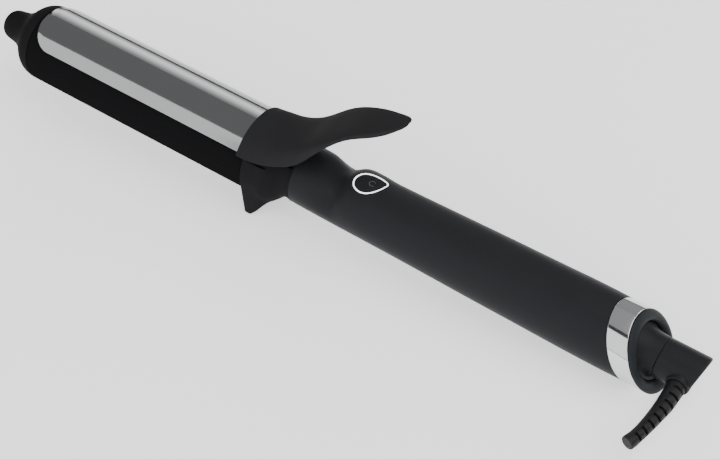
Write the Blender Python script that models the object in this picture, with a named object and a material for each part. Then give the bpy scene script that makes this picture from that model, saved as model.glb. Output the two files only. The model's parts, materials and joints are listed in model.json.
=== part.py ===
# Curling tong: heated barrel with a sprung clamp, a stand base, a round handle
# and a cord outlet that turns. Lengths are in metres. The tong is drawn with its
# axis along X, the lever towards +Z and the lever's front edge at X = 0, and the
# whole of it is then leaned on its foot and its rear end.

import math

import bpy
import bmesh
from mathutils import Matrix, Vector

MM = 0.001

# General fits
GAP = 0.3 * MM
SEAT = 0.25 * MM
OVERRUN = 2.0 * MM
WELD = 0.002 * MM

# Barrel and clamp
BARREL_R = 16.0 * MM
BARREL_WALL = 1.6 * MM
BARREL_FRONT = -106.0 * MM
CLAMP_THICK = 0.8 * MM
CLAMP_FRONT = -104.6 * MM
CLAMP_SIDE_FRONT = -95.4 * MM
CLAMP_REAR = 11.0 * MM
CLAMP_HALF_ANGLE = math.radians(51.5)

# Cool tip
TIP_END = -129.3 * MM
TIP_SPIGOT = 5.0 * MM

# Heater stack
PLATE_WIDTH = 12.0 * MM
PLATE_THICK = 2.4 * MM
HEATER_FRONT = -98.0 * MM
HEATER_REAR = -16.0 * MM
LEAD_R = 0.7 * MM
HEATER_SPRING_THICK = 0.6 * MM
HALF_ROUND_COUNT = 20
MOUNT_BORE_R = 5.6 * MM
LEAD_HALF_SPACING = 2.0 * MM
FUSE_ANGLE = math.radians(50.0)
FUSE_R = 1.5 * MM
FUSE_LENGTH = 11.0 * MM
SENSOR_R = 1.2 * MM
SENSOR_LENGTH = 7.0 * MM

# Stand base
BASE_FRONT = 2.9 * MM
BASE_PROUD = 1.3 * MM
BASE_R = BARREL_R + BASE_PROUD
SADDLE_SUNK = 0.1 * MM
BASE_TOP_R = BARREL_R - SADDLE_SUNK
BASE_FLAT = 10.6 * MM
BASE_LENGTH = 21.7 * MM
SADDLE_CUT_HALF_ANGLE = math.radians(61.0)
FOOT_REACH = 4.2 * MM
FOOT_DROP = BASE_R + FOOT_REACH
FOOT_WIDTH_SHARE = 0.896
FOOT_HALF_WIDTH = FOOT_WIDTH_SHARE * BASE_R
FOOT_THICK = 2.6 * MM
FOOT_SLOPE_LENGTH = 11.5 * MM
FOOT_CORNER_R = 1.9 * MM
SOCKET_STEP = 1.0 * MM
SOCKET_R = BARREL_R - BARREL_WALL - SOCKET_STEP
SOCKET_LENGTH = 2.3 * MM
SOCKET_DEPTH = BASE_FRONT + SOCKET_LENGTH
POCKET_AHEAD = 7.6 * MM
POCKET_WALL = 0.7 * MM
POCKET_HALF_WIDTH = 7.6 * MM
POCKET_ROOM = 1.0 * MM
DUCT_R = 4.2 * MM
DUCT_DROP = 5.2 * MM
SPIGOT_LENGTH = 5.0 * MM
BASE_EDGE_ROUND = 0.7 * MM
BASE_RING_COUNT = 42

# Lever and its hinge
HINGE_SHARE = 0.306
HINGE_X = BASE_FLAT + HINGE_SHARE * (BASE_LENGTH - BASE_FLAT)
HINGE_Z = 7.8 * MM
PIN_R = 1.25 * MM
PIN_HALF_LENGTH = 8.8 * MM
EAR_HALF_SPAN = 7.2 * MM
EAR_THICK = 1.8 * MM
EAR_HALF_LENGTH = 2.8 * MM
EAR_SINK_SHARE = 0.5
LEVER_LENGTH = 66.1 * MM
LEVER_RISE = 39.3 * MM
LEVER_LIP = 1.1 * MM
LEVER_FRONT_R = BARREL_R + GAP + CLAMP_THICK + LEVER_LIP
LEVER_WIDTH_SHARE = 0.83
LEVER_HALF_WIDTH = LEVER_WIDTH_SHARE * LEVER_FRONT_R
LEVER_THICK = 2.8 * MM
LEVER_LEAST_SHARE = 0.45
LEVER_TIP_SHARE = 0.55
HINGE_WIRE_R = 0.45 * MM
HINGE_COIL_R = 2.25 * MM
HINGE_COIL_TURNS = 6
COIL_POINTS = 10
CLAMP_SQUARE_SHARE = 0.2
SCREW_R = 1.2 * MM
SCREW_DEPTH = 0.7 * MM
SCREW_INSET = 3.0 * MM
SCREW_ANGLE = math.radians(24.0)
LEVER_ACROSS_COUNT = 12
LEVER_STOP_SHARES = (
    0.0, 0.011, 0.027, 0.05, 0.085, 0.12, 0.17, 0.2, 0.24, 0.28, 0.32, 0.36, 0.4,
    0.44, 0.48, 0.52, 0.56, 0.6, 0.65, 0.7, 0.76, 0.82, 0.88, 0.93, 0.965, 0.987, 1.0,
)

# Handle
HANDLE_FRONT_R = 12.0 * MM
WAIST_IN = 0.4 * MM
WAIST_R = HANDLE_FRONT_R - WAIST_IN
HANDLE_R = 14.0 * MM
HANDLE_WALL = 1.9 * MM
SCALLOP_DEPTH = 2.6 * MM
BOSS_RISE = 0.5 * MM
BOSS_FRONT = 41.5 * MM
BOSS_REAR = 61.0 * MM
HANDLE_RING_COUNT = 32
HANDLE_STOP_SHARES = (
    0.0, 0.03, 0.06, 0.085, 0.105, 0.122, 0.135, 0.15, 0.165, 0.185, 0.21, 0.24, 0.27, 0.35, 0.5, 0.65,
    0.8, 0.9, 1.0,
)
SCALLOP_FULL = math.radians(55.0)
SCALLOP_END = math.radians(100.0)
SLANT_START_SHARE = 0.8

# Button and its ring
BUTTON_X = 50.1 * MM
BUTTON_LENGTH = 13.6 * MM
BUTTON_HALF_WIDTH = 5.1 * MM
BUTTON_TURN = math.radians(32.8)
RING_WIDTH = 0.75 * MM
RING_DEPTH = 2.4 * MM
BUTTON_TOP_Z = 13.2 * MM
BUTTON_DEPTH = 3.0 * MM
BUTTON_TRAVEL = 0.8 * MM
BUTTON_CROWN = 1.1 * MM
PAD_SET_BACK = 0.25 * MM
TEARDROP_MIDDLE_SHARE = 0.41
TEARDROP_POINT_SHARE = 0.36
STEM_BUTTON_R = 1.2 * MM
SWITCH_SIDE = 6.0 * MM
SWITCH_HEIGHT = 3.0 * MM

# Rear collar and end cap
REAR_SLANT = math.radians(30.5)
COLLAR_X = 160.8 * MM
COLLAR_LENGTH = 8.0 * MM
COLLAR_R = 13.88 * MM
COLLAR_THICK = 1.3 * MM
CAP_DEPTH = 1.7 * MM
CAP_RECESS_R = 9.9 * MM
CAP_SPIGOT_LENGTH = 1.6 * MM
CAP_LIP_SHARES = (
    (0.35, 0.97),
    (0.66, 0.88),
    (0.88, 0.74),
    (1.0, 0.56),
    (0.97, 0.4),
    (0.8, 0.24),
    (0.45, 0.1),
    (0.0, 0.0),
)

# Cord outlet
SEAM_PAST = 12.25 * MM
SEAM_X = COLLAR_X + SEAM_PAST
HUB_R = 7.8 * MM
HUB_INSET = 8.7 * MM
HUB_FRONT = COLLAR_X - HUB_INSET
HUB_FLARE_LENGTH = 4.6 * MM
HUB_FLARE_X = SEAM_X - HUB_FLARE_LENGTH
HUB_SHARES = (
    (0.0, 1.0),
    (0.12, 0.72),
    (0.3, 0.42),
    (0.55, 0.18),
    (0.8, 0.05),
    (1.0, 0.0),
)
ELBOW_R = 7.75 * MM
ELBOW_LENGTH = 14.93 * MM
STEM_R = 3.4 * MM
CARRIER_BORE_R = HANDLE_R / 2
STEM_FLANGE_ROOM = 0.8 * MM
STEM_FLANGE_R = CARRIER_BORE_R - STEM_FLANGE_ROOM
STEM_FLANGE_THICK = 1.6 * MM
ELBOW_EDGE = 1.1 * MM
ELBOW_REAR_SLOPE_SHARE = 0.18
ELBOW_SIDE_SLOPE_SHARE = 0.11
CARRIER_AHEAD = 10.6 * MM
CARRIER_X = HUB_FRONT - CARRIER_AHEAD
CARRIER_LENGTH = 6.6 * MM
SLIP_RING_WIDTH = 1.6 * MM
SLIP_RING_SPACE = 1.2 * MM
SLIP_RING_THICK = 0.9 * MM
RELIEF_ROOT_R = 3.5 * MM
RELIEF_BORE_R = 1.5 * MM
RELIEF_START = 4.5 * MM
RELIEF_LENGTH = 33.8 * MM
RELIEF_PAST = 9.85 * MM
RELIEF_X = SEAM_X + RELIEF_PAST
RELIEF_BEND = 4.15 * MM
RELIEF_RING_COUNT = 12
RELIEF_ROOT_SHARE = 0.15
SLOT_START_SHARE = 0.25
SLOT_END_SHARE = 0.88
SLOT_COUNT = 9
SLOT_DEPTH = 0.45 * MM
RELIEF_BEND_SHARES = (
    (0.0, 0.0),
    (0.1, 0.0),
    (0.23, 0.01),
    (0.387, 0.05),
    (0.518, 0.17),
    (0.65, 0.32),
    (0.783, 0.508),
    (0.9, 0.735),
    (1.0, 1.0),
)
RELIEF_RADIUS_SHARES = (
    (0.0, 1.0),
    (0.15, 1.0),
    (0.17, 0.97),
    (0.387, 0.905),
    (0.518, 0.823),
    (0.65, 0.765),
    (0.783, 0.717),
    (0.88, 0.71),
    (0.9, 0.755),
    (1.0, 0.755),
)

# Board and what is on it
BOARD_FRONT = 30.0 * MM
BOARD_REAR_ROOM = 5.5 * MM
BOARD_HALF_WIDTH = 8.0 * MM
BOARD_THICK = 1.6 * MM
BOARD_Z = 0.6 * MM
TRAY_THICK = 1.4 * MM
TRAY_FIT = 0.6 * MM
TRAY_LEDGE = 2.2 * MM
TRAY_NARROW_SHARE = 0.8
TRAY_ARC_COUNT = 14
LAMP_LENGTH = 3.2 * MM
LAMP_WIDTH = 3.0 * MM
CAPACITOR_SHARE = 0.2786
CAPACITOR_R = HANDLE_R * CAPACITOR_SHARE
CAPACITOR_LENGTH = 15.0 * MM
TRIAC_LENGTH = 10.0 * MM
TRIAC_WIDTH = 9.6 * MM
TRIAC_HEIGHT = 4.5 * MM
SINK_LENGTH = 16.0 * MM
SINK_WIDTH = 10.5 * MM
SINK_HEIGHT = 6.4 * MM
SINK_FOOT = 1.5 * MM
SINK_FIN_COUNT = 4
BLOCK_LENGTH = 9.0 * MM
BLOCK_WIDTH = 11.0 * MM
BLOCK_HEIGHT = 5.0 * MM
LEAD_END_ANGLE = math.radians(30.0)


def remove_everything():
    for item in list(bpy.data.objects):
        bpy.data.objects.remove(item, do_unlink=True)


def material(name, colour, roughness, metallic=0.0):
    made = bpy.data.materials.new(name)
    made.use_nodes = True
    shader = made.node_tree.nodes["Principled BSDF"]
    shader.inputs["Base Color"].default_value = (*colour, 1.0)
    shader.inputs["Roughness"].default_value = roughness
    shader.inputs["Metallic"].default_value = metallic
    made.diffuse_color = (*colour, 1.0)
    return made


def empty(name, place, parent=None):
    made = bpy.data.objects.new(name, None)
    bpy.context.collection.objects.link(made)
    made.parent = parent
    made.location = place
    return made


def place(name, bm, look, parent, origin=(0.0, 0.0, 0.0), sharp=35.0):
    bmesh.ops.recalc_face_normals(bm, faces=bm.faces)
    bmesh.ops.transform(bm, matrix=Matrix.Translation(-Vector(origin)), verts=bm.verts)
    mesh = bpy.data.meshes.new(name)
    bm.to_mesh(mesh)
    bm.free()
    mesh.shade_smooth()
    mesh.set_sharp_from_angle(angle=math.radians(sharp))
    mesh.materials.append(look)
    made = bpy.data.objects.new(name, mesh)
    bpy.context.collection.objects.link(made)
    made.parent = parent
    return made


def cut(target, tool, operation="DIFFERENCE"):
    tool.hide_render = True
    tool.display_type = "WIRE"
    step = target.modifiers.new(operation.title() + "_" + tool.name, "BOOLEAN")
    step.operation = operation
    step.solver = "EXACT"
    step.object = tool
    return step


def bake(target):
    # Turns an object's modifiers into its mesh and removes the tools they used.
    graph = bpy.context.evaluated_depsgraph_get()
    mesh = bpy.data.meshes.new_from_object(target.evaluated_get(graph))
    tools = [step.object for step in target.modifiers if step.type == "BOOLEAN"]
    target.modifiers.clear()
    target.data = mesh
    for tool in tools:
        bpy.data.objects.remove(tool, do_unlink=True)
    mesh.set_sharp_from_angle(angle=math.radians(35.0))
    return target


def spun(bm, profile, steps, turn=math.tau, start=0.0):
    # Spins a closed profile of (x, radius) pairs round the X axis.
    corners = []
    for x, radius in profile:
        side = Vector((x, radius * math.sin(start), radius * math.cos(start)))
        corners.append(bm.verts.new(side))
    outline = bm.faces.new(corners)
    whole = turn > math.tau - WELD
    if whole:
        edges = list(outline.edges)
        bm.faces.remove(outline)
        geometry = corners + edges
    else:
        geometry = corners + list(outline.edges) + [outline]
    bmesh.ops.spin(
        bm,
        geom=geometry,
        cent=(0.0, 0.0, 0.0),
        axis=(-1.0, 0.0, 0.0),
        angle=turn,
        steps=steps,
        use_merge=whole,
    )
    bmesh.ops.remove_doubles(bm, verts=bm.verts, dist=WELD)
    return bm


def turned(name, profile, look, parent, steps=40, origin=(0.0, 0.0, 0.0), slant=0.0, sharp=35.0):
    bm = spun(bmesh.new(), profile, steps)
    for vert in bm.verts:
        vert.co.x -= vert.co.z * math.tan(slant)
    return place(name, bm, look, parent, origin, sharp)


def tube_profile(x0, x1, outer, inner):
    return [(x0, inner), (x0, outer), (x1, outer), (x1, inner)]


def rod_profile(x0, x1, radius):
    return [(x0, 0.0), (x0, radius), (x1, radius), (x1, 0.0)]


def lofted(bm, rings, closed=False):
    # Skins a row of equal rings, and caps both ends unless the row closes.
    rows = [[bm.verts.new(point) for point in ring] for ring in rings]
    pairs = list(zip(rows, rows[1:]))
    if closed:
        pairs.append((rows[-1], rows[0]))
    for near, far in pairs:
        for here in range(len(near)):
            after = (here + 1) % len(near)
            bm.faces.new((near[here], near[after], far[after], far[here]))
    if not closed:
        bm.faces.new(rows[0])
        bm.faces.new(rows[-1])
    return bm


def boxed(bm, low, high):
    size = Vector(high) - Vector(low)
    middle = (Vector(high) + Vector(low)) / 2
    matrix = Matrix.Translation(middle) @ Matrix.Diagonal((*size, 1.0))
    bmesh.ops.create_cube(bm, size=1.0, matrix=matrix)
    return bm


def cylinder(bm, radius, start, end, steps=24):
    # A rod between two points.
    start = Vector(start)
    end = Vector(end)
    along = end - start
    matrix = Matrix.Translation((start + end) / 2) @ along.to_track_quat("Z", "Y").to_matrix().to_4x4()
    bmesh.ops.create_cone(
        bm,
        cap_ends=True,
        segments=steps,
        radius1=radius,
        radius2=radius,
        depth=along.length,
        matrix=matrix,
    )
    return bm


def wire(name, route, radius, look, parent, origin=(0.0, 0.0, 0.0), resolution=1):
    # One tube along a route, as a curve with filled caps.
    curve = bpy.data.curves.new(name, "CURVE")
    curve.dimensions = "3D"
    curve.bevel_depth = radius
    curve.bevel_resolution = resolution
    curve.use_fill_caps = True
    line = curve.splines.new("POLY")
    line.points.add(len(route) - 1)
    for point, spot in zip(line.points, route):
        point.co = (*(Vector(spot) - Vector(origin)), 1.0)
    curve.materials.append(look)
    made = bpy.data.objects.new(name, curve)
    bpy.context.collection.objects.link(made)
    made.parent = parent
    return made


def smooth_table(table, where):
    # Cubic reading of a table of rows whose first column is the place along it.
    last = len(table) - 1
    index = 0
    while index < last - 1 and where > table[index + 1][0]:
        index += 1
    here, after = table[index], table[index + 1]
    before = table[max(index - 1, 0)]
    beyond = table[min(index + 2, last)]
    span = after[0] - here[0]
    share = min(max((where - here[0]) / span, 0.0), 1.0)
    found = []
    for column in range(1, len(here)):
        slope_here = (after[column] - before[column]) / (after[0] - before[0]) * span
        slope_after = (beyond[column] - here[column]) / (beyond[0] - here[0]) * span
        h00 = 2 * share ** 3 - 3 * share ** 2 + 1
        h10 = share ** 3 - 2 * share ** 2 + share
        h01 = 3 * share ** 2 - 2 * share ** 3
        h11 = share ** 3 - share ** 2
        value = h00 * here[column] + h10 * slope_here + h01 * after[column] + h11 * slope_after
        found.append(value)
    return found


def polar(x, radius, angle, slant_shift=0.0):
    # The angle runs from the top towards +Y.
    y = radius * math.sin(angle)
    z = radius * math.cos(angle)
    return Vector((x - slant_shift * z, y, z))


def ring_angles(count):
    return [math.tau * index / count for index in range(count)]


# Barrel

TIP_PROFILE_SHARES = (
    (0.0, 0.0),
    (0.0, 0.212),
    (0.017, 0.281),
    (0.052, 0.338),
    (0.109, 0.381),
    (0.257, 0.422),
    (0.361, 0.453),
    (0.439, 0.506),
    (0.517, 0.575),
    (0.596, 0.669),
    (0.683, 0.794),
    (0.752, 0.881),
    (0.822, 0.941),
    (0.9, 0.978),
    (1.0, 1.0),
)


def barrel_bore():
    return BARREL_R - BARREL_WALL


def make_barrel(parent, looks):
    profile = tube_profile(BARREL_FRONT, BASE_FRONT - GAP, BARREL_R, barrel_bore())
    turned("barrel_tube", profile, looks["barrel"], parent, steps=48)


def make_cool_tip(parent, looks):
    seam = BARREL_FRONT - GAP
    reach = seam - TIP_END
    profile = [(TIP_END + along * reach, out * BARREL_R) for along, out in TIP_PROFILE_SHARES]
    spigot = barrel_bore() - SEAT
    rear = BARREL_FRONT + TIP_SPIGOT
    profile += [(seam, spigot), (rear, spigot), (rear, 0.0)]
    turned("cool_tip", profile, looks["tip"], parent, steps=28)
    front = rear + GAP
    disc = rod_profile(front, HEATER_FRONT - GAP, spigot)
    turned("tip_insulator", disc, looks["mica"], parent, steps=24)


def half_round(x0, x1, radius, flat):
    # Rings of a round bar cut off at a level above the axis.
    reach = math.acos(flat / radius)
    ring = []
    for index in range(HALF_ROUND_COUNT + 1):
        angle = reach * (2 * index / HALF_ROUND_COUNT - 1)
        ring.append(angle)
    return [[polar(x, radius, angle) for angle in ring] for x in (x0, x1)]


def make_heater(parent, looks):
    radius = barrel_bore() - SEAT
    half = PLATE_THICK / 2
    upper = lofted(bmesh.new(), half_round(HEATER_FRONT, HEATER_REAR, radius, half + SEAT))
    place("heat_spreader_upper", upper, looks["aluminium"], parent)
    below = half + SEAT + HEATER_SPRING_THICK + SEAT
    lower = lofted(bmesh.new(), half_round(HEATER_FRONT, HEATER_REAR, radius, below))
    bmesh.ops.scale(lower, vec=(1.0, 1.0, -1.0), verts=lower.verts)
    place("heat_spreader_lower", lower, looks["aluminium"], parent)
    side = PLATE_WIDTH / 2
    plate = boxed(bmesh.new(), (HEATER_FRONT, -side, -half), (HEATER_REAR, side, half))
    place("heater_plate", plate, looks["ceramic"], parent)
    top = -half - SEAT
    inset = PLATE_WIDTH / 6
    strip = boxed(
        bmesh.new(),
        (HEATER_FRONT + inset, inset - side, top - HEATER_SPRING_THICK),
        (HEATER_REAR - inset, side - inset, top),
    )
    place("pressure_strip", strip, looks["steel"], parent)


def make_barrel_mount(parent, looks):
    in_barrel = barrel_bore() - SEAT
    in_base = SOCKET_R - SEAT
    front = HEATER_REAR + GAP
    step = BASE_FRONT - 2 * GAP
    rear = SOCKET_DEPTH - GAP
    profile = [
        (front, MOUNT_BORE_R),
        (front, in_barrel),
        (step, in_barrel),
        (step, in_base),
        (rear, in_base),
        (rear, MOUNT_BORE_R),
    ]
    turned("barrel_mount", profile, looks["mount"], parent, steps=32)
    lie = front + GAP
    fuse_out = MOUNT_BORE_R - SEAT - FUSE_R
    fuse_y = -fuse_out * math.sin(FUSE_ANGLE)
    fuse_z = fuse_out * math.cos(FUSE_ANGLE)
    fuse = cylinder(bmesh.new(), FUSE_R, (lie, fuse_y, fuse_z), (lie + FUSE_LENGTH, fuse_y, fuse_z), 16)
    place("thermal_fuse", fuse, looks["brass"], parent)
    sensor_out = MOUNT_BORE_R - SEAT - SENSOR_R
    sensor_y = sensor_out * math.sin(FUSE_ANGLE)
    sensor_z = sensor_out * math.cos(FUSE_ANGLE)
    start = (lie, sensor_y, sensor_z)
    end = (lie + SENSOR_LENGTH, sensor_y, sensor_z)
    sensor = cylinder(bmesh.new(), SENSOR_R, start, end, 16)
    place("temperature_sensor", sensor, looks["glass"], parent)


def make_heater_leads(parent, looks):
    under_board = BOARD_Z - GAP - LEAD_R
    low = -DUCT_DROP + LEAD_R
    for side, label in ((-1.0, "near"), (1.0, "far")):
        wide = side * LEAD_HALF_SPACING
        route = [
            (HEATER_REAR + GAP, wide, 0.0),
            (HEATER_REAR / 2, wide, -LEAD_R),
            (0.0, wide, 0.62 * low),
            (SOCKET_DEPTH, wide, 0.9 * low),
            (2 * SOCKET_DEPTH, wide, low),
            (BASE_LENGTH + SPIGOT_LENGTH, wide, low),
            (BOARD_FRONT + SPIGOT_LENGTH, wide, 0.6 * low),
            (BOARD_FRONT + 2 * SPIGOT_LENGTH, wide, under_board),
        ]
        wire("heater_lead_" + label, route, LEAD_R, looks["lead"], parent)


# Stand base

BASE_CONE_SHARES = (
    (0.0, 1.0),
    (0.1, 0.96),
    (0.22, 0.8),
    (0.38, 0.5),
    (0.53, 0.2),
    (0.66, 0.05),
    (0.79, 0.0),
    (0.9, 0.02),
    (1.0, 0.08),
)

# Columns: place down the slope, share of the drop, share of the width.
FOOT_SLOPE_SHARES = (
    (0.0, 1.0, 1.0),
    (0.22, 0.86, 0.98),
    (0.45, 0.68, 0.92),
    (0.65, 0.56, 0.77),
    (0.84, 0.48, 0.6),
    (1.0, 0.42, 0.46),
)


def lean_angle():
    # The tilt at which the foot and the rear end both stand on the table.
    rear = COLLAR_X + COLLAR_LENGTH + COLLAR_R * math.tan(REAR_SLANT)
    return math.atan2(FOOT_DROP - COLLAR_R, rear)


def base_radius(x):
    if x <= BASE_FLAT:
        return BASE_R
    share = (x - BASE_FLAT) / (BASE_LENGTH - BASE_FLAT)
    cone = smooth_table(BASE_CONE_SHARES, share)[0]
    return WAIST_R + (BASE_R - WAIST_R) * cone


def hull_point(circles, angle):
    # The farthest point of a group of circles in one direction.
    aim = Vector((math.sin(angle), math.cos(angle)))
    best = max(circles, key=lambda item: item[0].dot(aim) + item[1])
    return best[0] + aim * best[1]


def base_ring(x, shrink=0.0):
    circles = [(Vector((0.0, 0.0)), base_radius(x) - shrink)]
    slope_start = BASE_FRONT + FOOT_THICK
    slope_end = slope_start + FOOT_SLOPE_LENGTH
    if x <= slope_end:
        drop = FOOT_DROP - x * math.tan(lean_angle()) - shrink
        half = FOOT_HALF_WIDTH - shrink
        if x > slope_start:
            low, wide = smooth_table(FOOT_SLOPE_SHARES, (x - slope_start) / FOOT_SLOPE_LENGTH)
            drop *= low
            half *= wide
        corner = FOOT_CORNER_R
        for side in (-1.0, 1.0):
            circles.append((Vector((side * (half - corner), corner - drop)), corner))
    ring = []
    for angle in ring_angles(BASE_RING_COUNT):
        spot = hull_point(circles, angle)
        ring.append(Vector((x, spot.x, spot.y)))
    return ring


def base_body():
    edge = BASE_EDGE_ROUND
    rings = [base_ring(BASE_FRONT, edge), base_ring(BASE_FRONT + edge * 0.3, edge * 0.3)]
    slope_start = BASE_FRONT + FOOT_THICK
    count = 11
    flare = BASE_LENGTH - slope_start
    stops = [BASE_FRONT + edge, slope_start]
    stops += [slope_start + flare * (index + 1) / count for index in range(count)]
    rings += [base_ring(x) for x in stops]
    return lofted(bmesh.new(), rings)


def pocket_floor():
    return HINGE_Z - EAR_HALF_LENGTH - POCKET_ROOM


def pocket_shape():
    # The hinge pocket, open at the top.
    low = (HINGE_X - POCKET_AHEAD, -POCKET_HALF_WIDTH, pocket_floor())
    high = (BASE_LENGTH - POCKET_WALL, POCKET_HALF_WIDTH, BASE_R + OVERRUN)
    return boxed(bmesh.new(), low, high)


def make_stand_base(parent, looks):
    base = place("stand_base", base_body(), looks["base"], parent)
    spigot_rear = BASE_LENGTH + SPIGOT_LENGTH
    spigot_r = HANDLE_FRONT_R - HANDLE_WALL - SEAT
    spigot_front = BASE_LENGTH - OVERRUN
    spigot = turned("spigot", rod_profile(spigot_front, spigot_rear, spigot_r), looks["base"], parent, 32)
    cut(base, spigot, "UNION")
    socket_shape = rod_profile(BASE_FRONT - OVERRUN, SOCKET_DEPTH, SOCKET_R)
    socket = turned("socket", socket_shape, looks["base"], parent, 32)
    cut(base, socket)
    cover = tube_profile(BASE_FRONT - OVERRUN, CLAMP_REAR + OVERRUN, BASE_R + OVERRUN, BASE_TOP_R)
    turn = 2 * SADDLE_CUT_HALF_ANGLE
    seat = spun(bmesh.new(), cover, 24, turn, -SADDLE_CUT_HALF_ANGLE)
    cut(base, place("saddle_seat", seat, looks["base"], parent))
    cut(base, place("hinge_pocket", pocket_shape(), looks["base"], parent))
    duct = cylinder(
        bmesh.new(), DUCT_R, (OVERRUN, 0.0, -DUCT_DROP), (spigot_rear + OVERRUN, 0.0, -DUCT_DROP), 20
    )
    cut(base, place("duct", duct, looks["base"], parent))
    hole_end = PIN_HALF_LENGTH + GAP
    hole = cylinder(
        bmesh.new(),
        PIN_R + SEAT,
        (HINGE_X, -hole_end, HINGE_Z),
        (HINGE_X, hole_end, HINGE_Z),
        16,
    )
    cut(base, place("pin_hole", hole, looks["base"], parent))
    bake(base)
    pin = cylinder(
        bmesh.new(),
        PIN_R,
        (HINGE_X, -PIN_HALF_LENGTH, HINGE_Z),
        (HINGE_X, PIN_HALF_LENGTH, HINGE_Z),
        16,
    )
    place("hinge_pin", pin, looks["steel"], parent)


def make_hinge_spring(parent, looks):
    # One wire wound round the pin, with a leg on the pocket floor and one by an ear.
    half = EAR_HALF_SPAN - EAR_THICK - 2 * GAP - HINGE_WIRE_R
    points = []
    count = HINGE_COIL_TURNS * COIL_POINTS
    for index in range(count + 1):
        share = index / count
        angle = math.tau * HINGE_COIL_TURNS * share
        x = HINGE_X + HINGE_COIL_R * math.cos(angle)
        z = HINGE_Z + HINGE_COIL_R * math.sin(angle)
        points.append(Vector((x, half * (2 * share - 1), z)))
    first_leg = Vector((points[0].x, points[0].y, pocket_floor() + GAP + HINGE_WIRE_R))
    last_leg = points[-1] + Vector((0.0, 0.0, 2 * HINGE_COIL_R))
    route = [first_leg] + points + [last_leg]
    report_gap("hinge_spring", points, HINGE_WIRE_R)
    wire("hinge_spring", route, HINGE_WIRE_R, looks["steel"], parent)


def report_gap(name, points, radius):
    # The least gap of a wound wire to itself, neighbours along it left out.
    least = None
    for here in range(len(points)):
        for there in range(here + COIL_POINTS // 2, len(points)):
            span = (points[there] - points[here]).length - 2 * radius
            least = span if least is None else min(least, span)
    print(name, "least gap to itself in mm:", round(least / MM, 2))


# Lever and clamp

# Columns: place along the lever, height of the ridge, height of the lip, half width,
# reach of the shoulder past the lip, and squareness of the shoulder.
LEVER_SHARES = (
    (0.0, -0.002, -0.204, 0.988, 0.6, 1.061),
    (0.011, 0.003, -0.204, 1.0, 0.586, 1.035),
    (0.027, 0.0, -0.205, 1.001, 0.582, 1.02),
    (0.075, 0.002, -0.203, 0.99, 0.761, 1.189),
    (0.149, 0.006, -0.187, 0.975, 0.809, 1.27),
    (0.209, 0.041, -0.162, 0.933, 0.868, 1.24),
    (0.269, 0.094, -0.126, 0.882, 0.925, 1.266),
    (0.328, 0.154, -0.083, 0.838, 0.949, 1.49),
    (0.388, 0.223, -0.008, 0.816, 0.969, 1.775),
    (0.448, 0.316, 0.111, 0.803, 1.011, 1.902),
    (0.515, 0.421, 0.274, 0.789, 1.049, 1.954),
    (0.581, 0.502, 0.412, 0.768, 1.044, 1.985),
    (0.633, 0.575, 0.504, 0.691, 1.035, 1.999),
    (0.684, 0.638, 0.58, 0.624, 1.027, 2.01),
    (0.736, 0.692, 0.634, 0.576, 1.036, 2.029),
    (0.787, 0.744, 0.674, 0.523, 1.063, 2.052),
    (0.837, 0.789, 0.714, 0.462, 1.092, 2.073),
    (0.89, 0.828, 0.761, 0.39, 1.1, 2.0),
    (0.94, 0.876, 0.828, 0.308, 1.08, 2.0),
    (0.97, 0.902, 0.872, 0.242, 1.08, 2.0),
    (0.99, 0.92, 0.903, 0.17, 1.08, 2.0),
    (1.0, 0.93, 0.918, 0.1, 1.08, 2.0),
)


def lever_spot(share, across):
    # A point of the lever's outer face; across runs from -1 to 1, lip to lip.
    rise, drop, wide, lean, square = smooth_table(LEVER_SHARES, share)
    top = LEVER_FRONT_R + rise * LEVER_RISE
    low = LEVER_FRONT_R + drop * LEVER_RISE
    half = wide * LEVER_HALF_WIDTH
    side = abs(across)
    first = (1 - side) ** 2
    second = 2 * side * (1 - side) * square
    third = side ** 2
    whole = first + second + third
    y = (second * lean * half + third * half) / whole
    z = (first * top + second * top + third * low) / whole
    return Vector((share * LEVER_LENGTH, math.copysign(y, across), z))


def lever_inner(share, across):
    # The inner face: a round seat on the clamp in front, an even wall behind.
    here = lever_spot(share, across)
    nudge = 0.004
    along = lever_spot(min(share + nudge, 1.0), across) - lever_spot(max(share - nudge, 0.0), across)
    over = lever_spot(share, min(across + nudge, 1.0)) - lever_spot(share, max(across - nudge, -1.0))
    normal = over.cross(along).normalized()
    if normal.z > 0.0:
        normal.negate()
    if abs(normal.z) < 0.5 and normal.y * across > 0.0:
        normal.negate()
    wall = LEVER_THICK * (1.0 - 0.2 * abs(across) ** 3)
    half = smooth_table(LEVER_SHARES, share)[2] * LEVER_HALF_WIDTH
    wall = min(wall, clear_wall(here), LEVER_TIP_SHARE * half)
    walled = here + normal * wall
    walled.x = here.x
    seat_r = clamp_outer_r() + SEAT
    angle = math.atan2(here.y, here.z)
    seated = polar(here.x, seat_r, angle)
    blend = (here.x - 1.04 * CLAMP_REAR) / (0.5 * CLAMP_REAR)
    blend = min(max(blend, 0.0), 1.0)
    return seated.lerp(walled, blend)


def clear_wall(here):
    # The wall that still clears the stand base below it.
    if here.x > BASE_LENGTH:
        return LEVER_THICK
    room = math.hypot(here.y, here.z) - base_radius(here.x) - 2 * GAP
    return max(room, LEVER_LEAST_SHARE * LEVER_THICK)


def clamp_outer_r():
    return BARREL_R + GAP + CLAMP_THICK


def lever_body():
    rings = []
    for row in range(len(LEVER_STOP_SHARES)):
        share = LEVER_STOP_SHARES[row]
        count = LEVER_ACROSS_COUNT
        steps = [2 * index / count - 1 for index in range(count + 1)]
        outer = [lever_spot(share, across) for across in steps]
        inner = [lever_inner(share, across) for across in reversed(steps)]
        rings.append(outer + inner)
    return lofted(bmesh.new(), rings)


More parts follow.
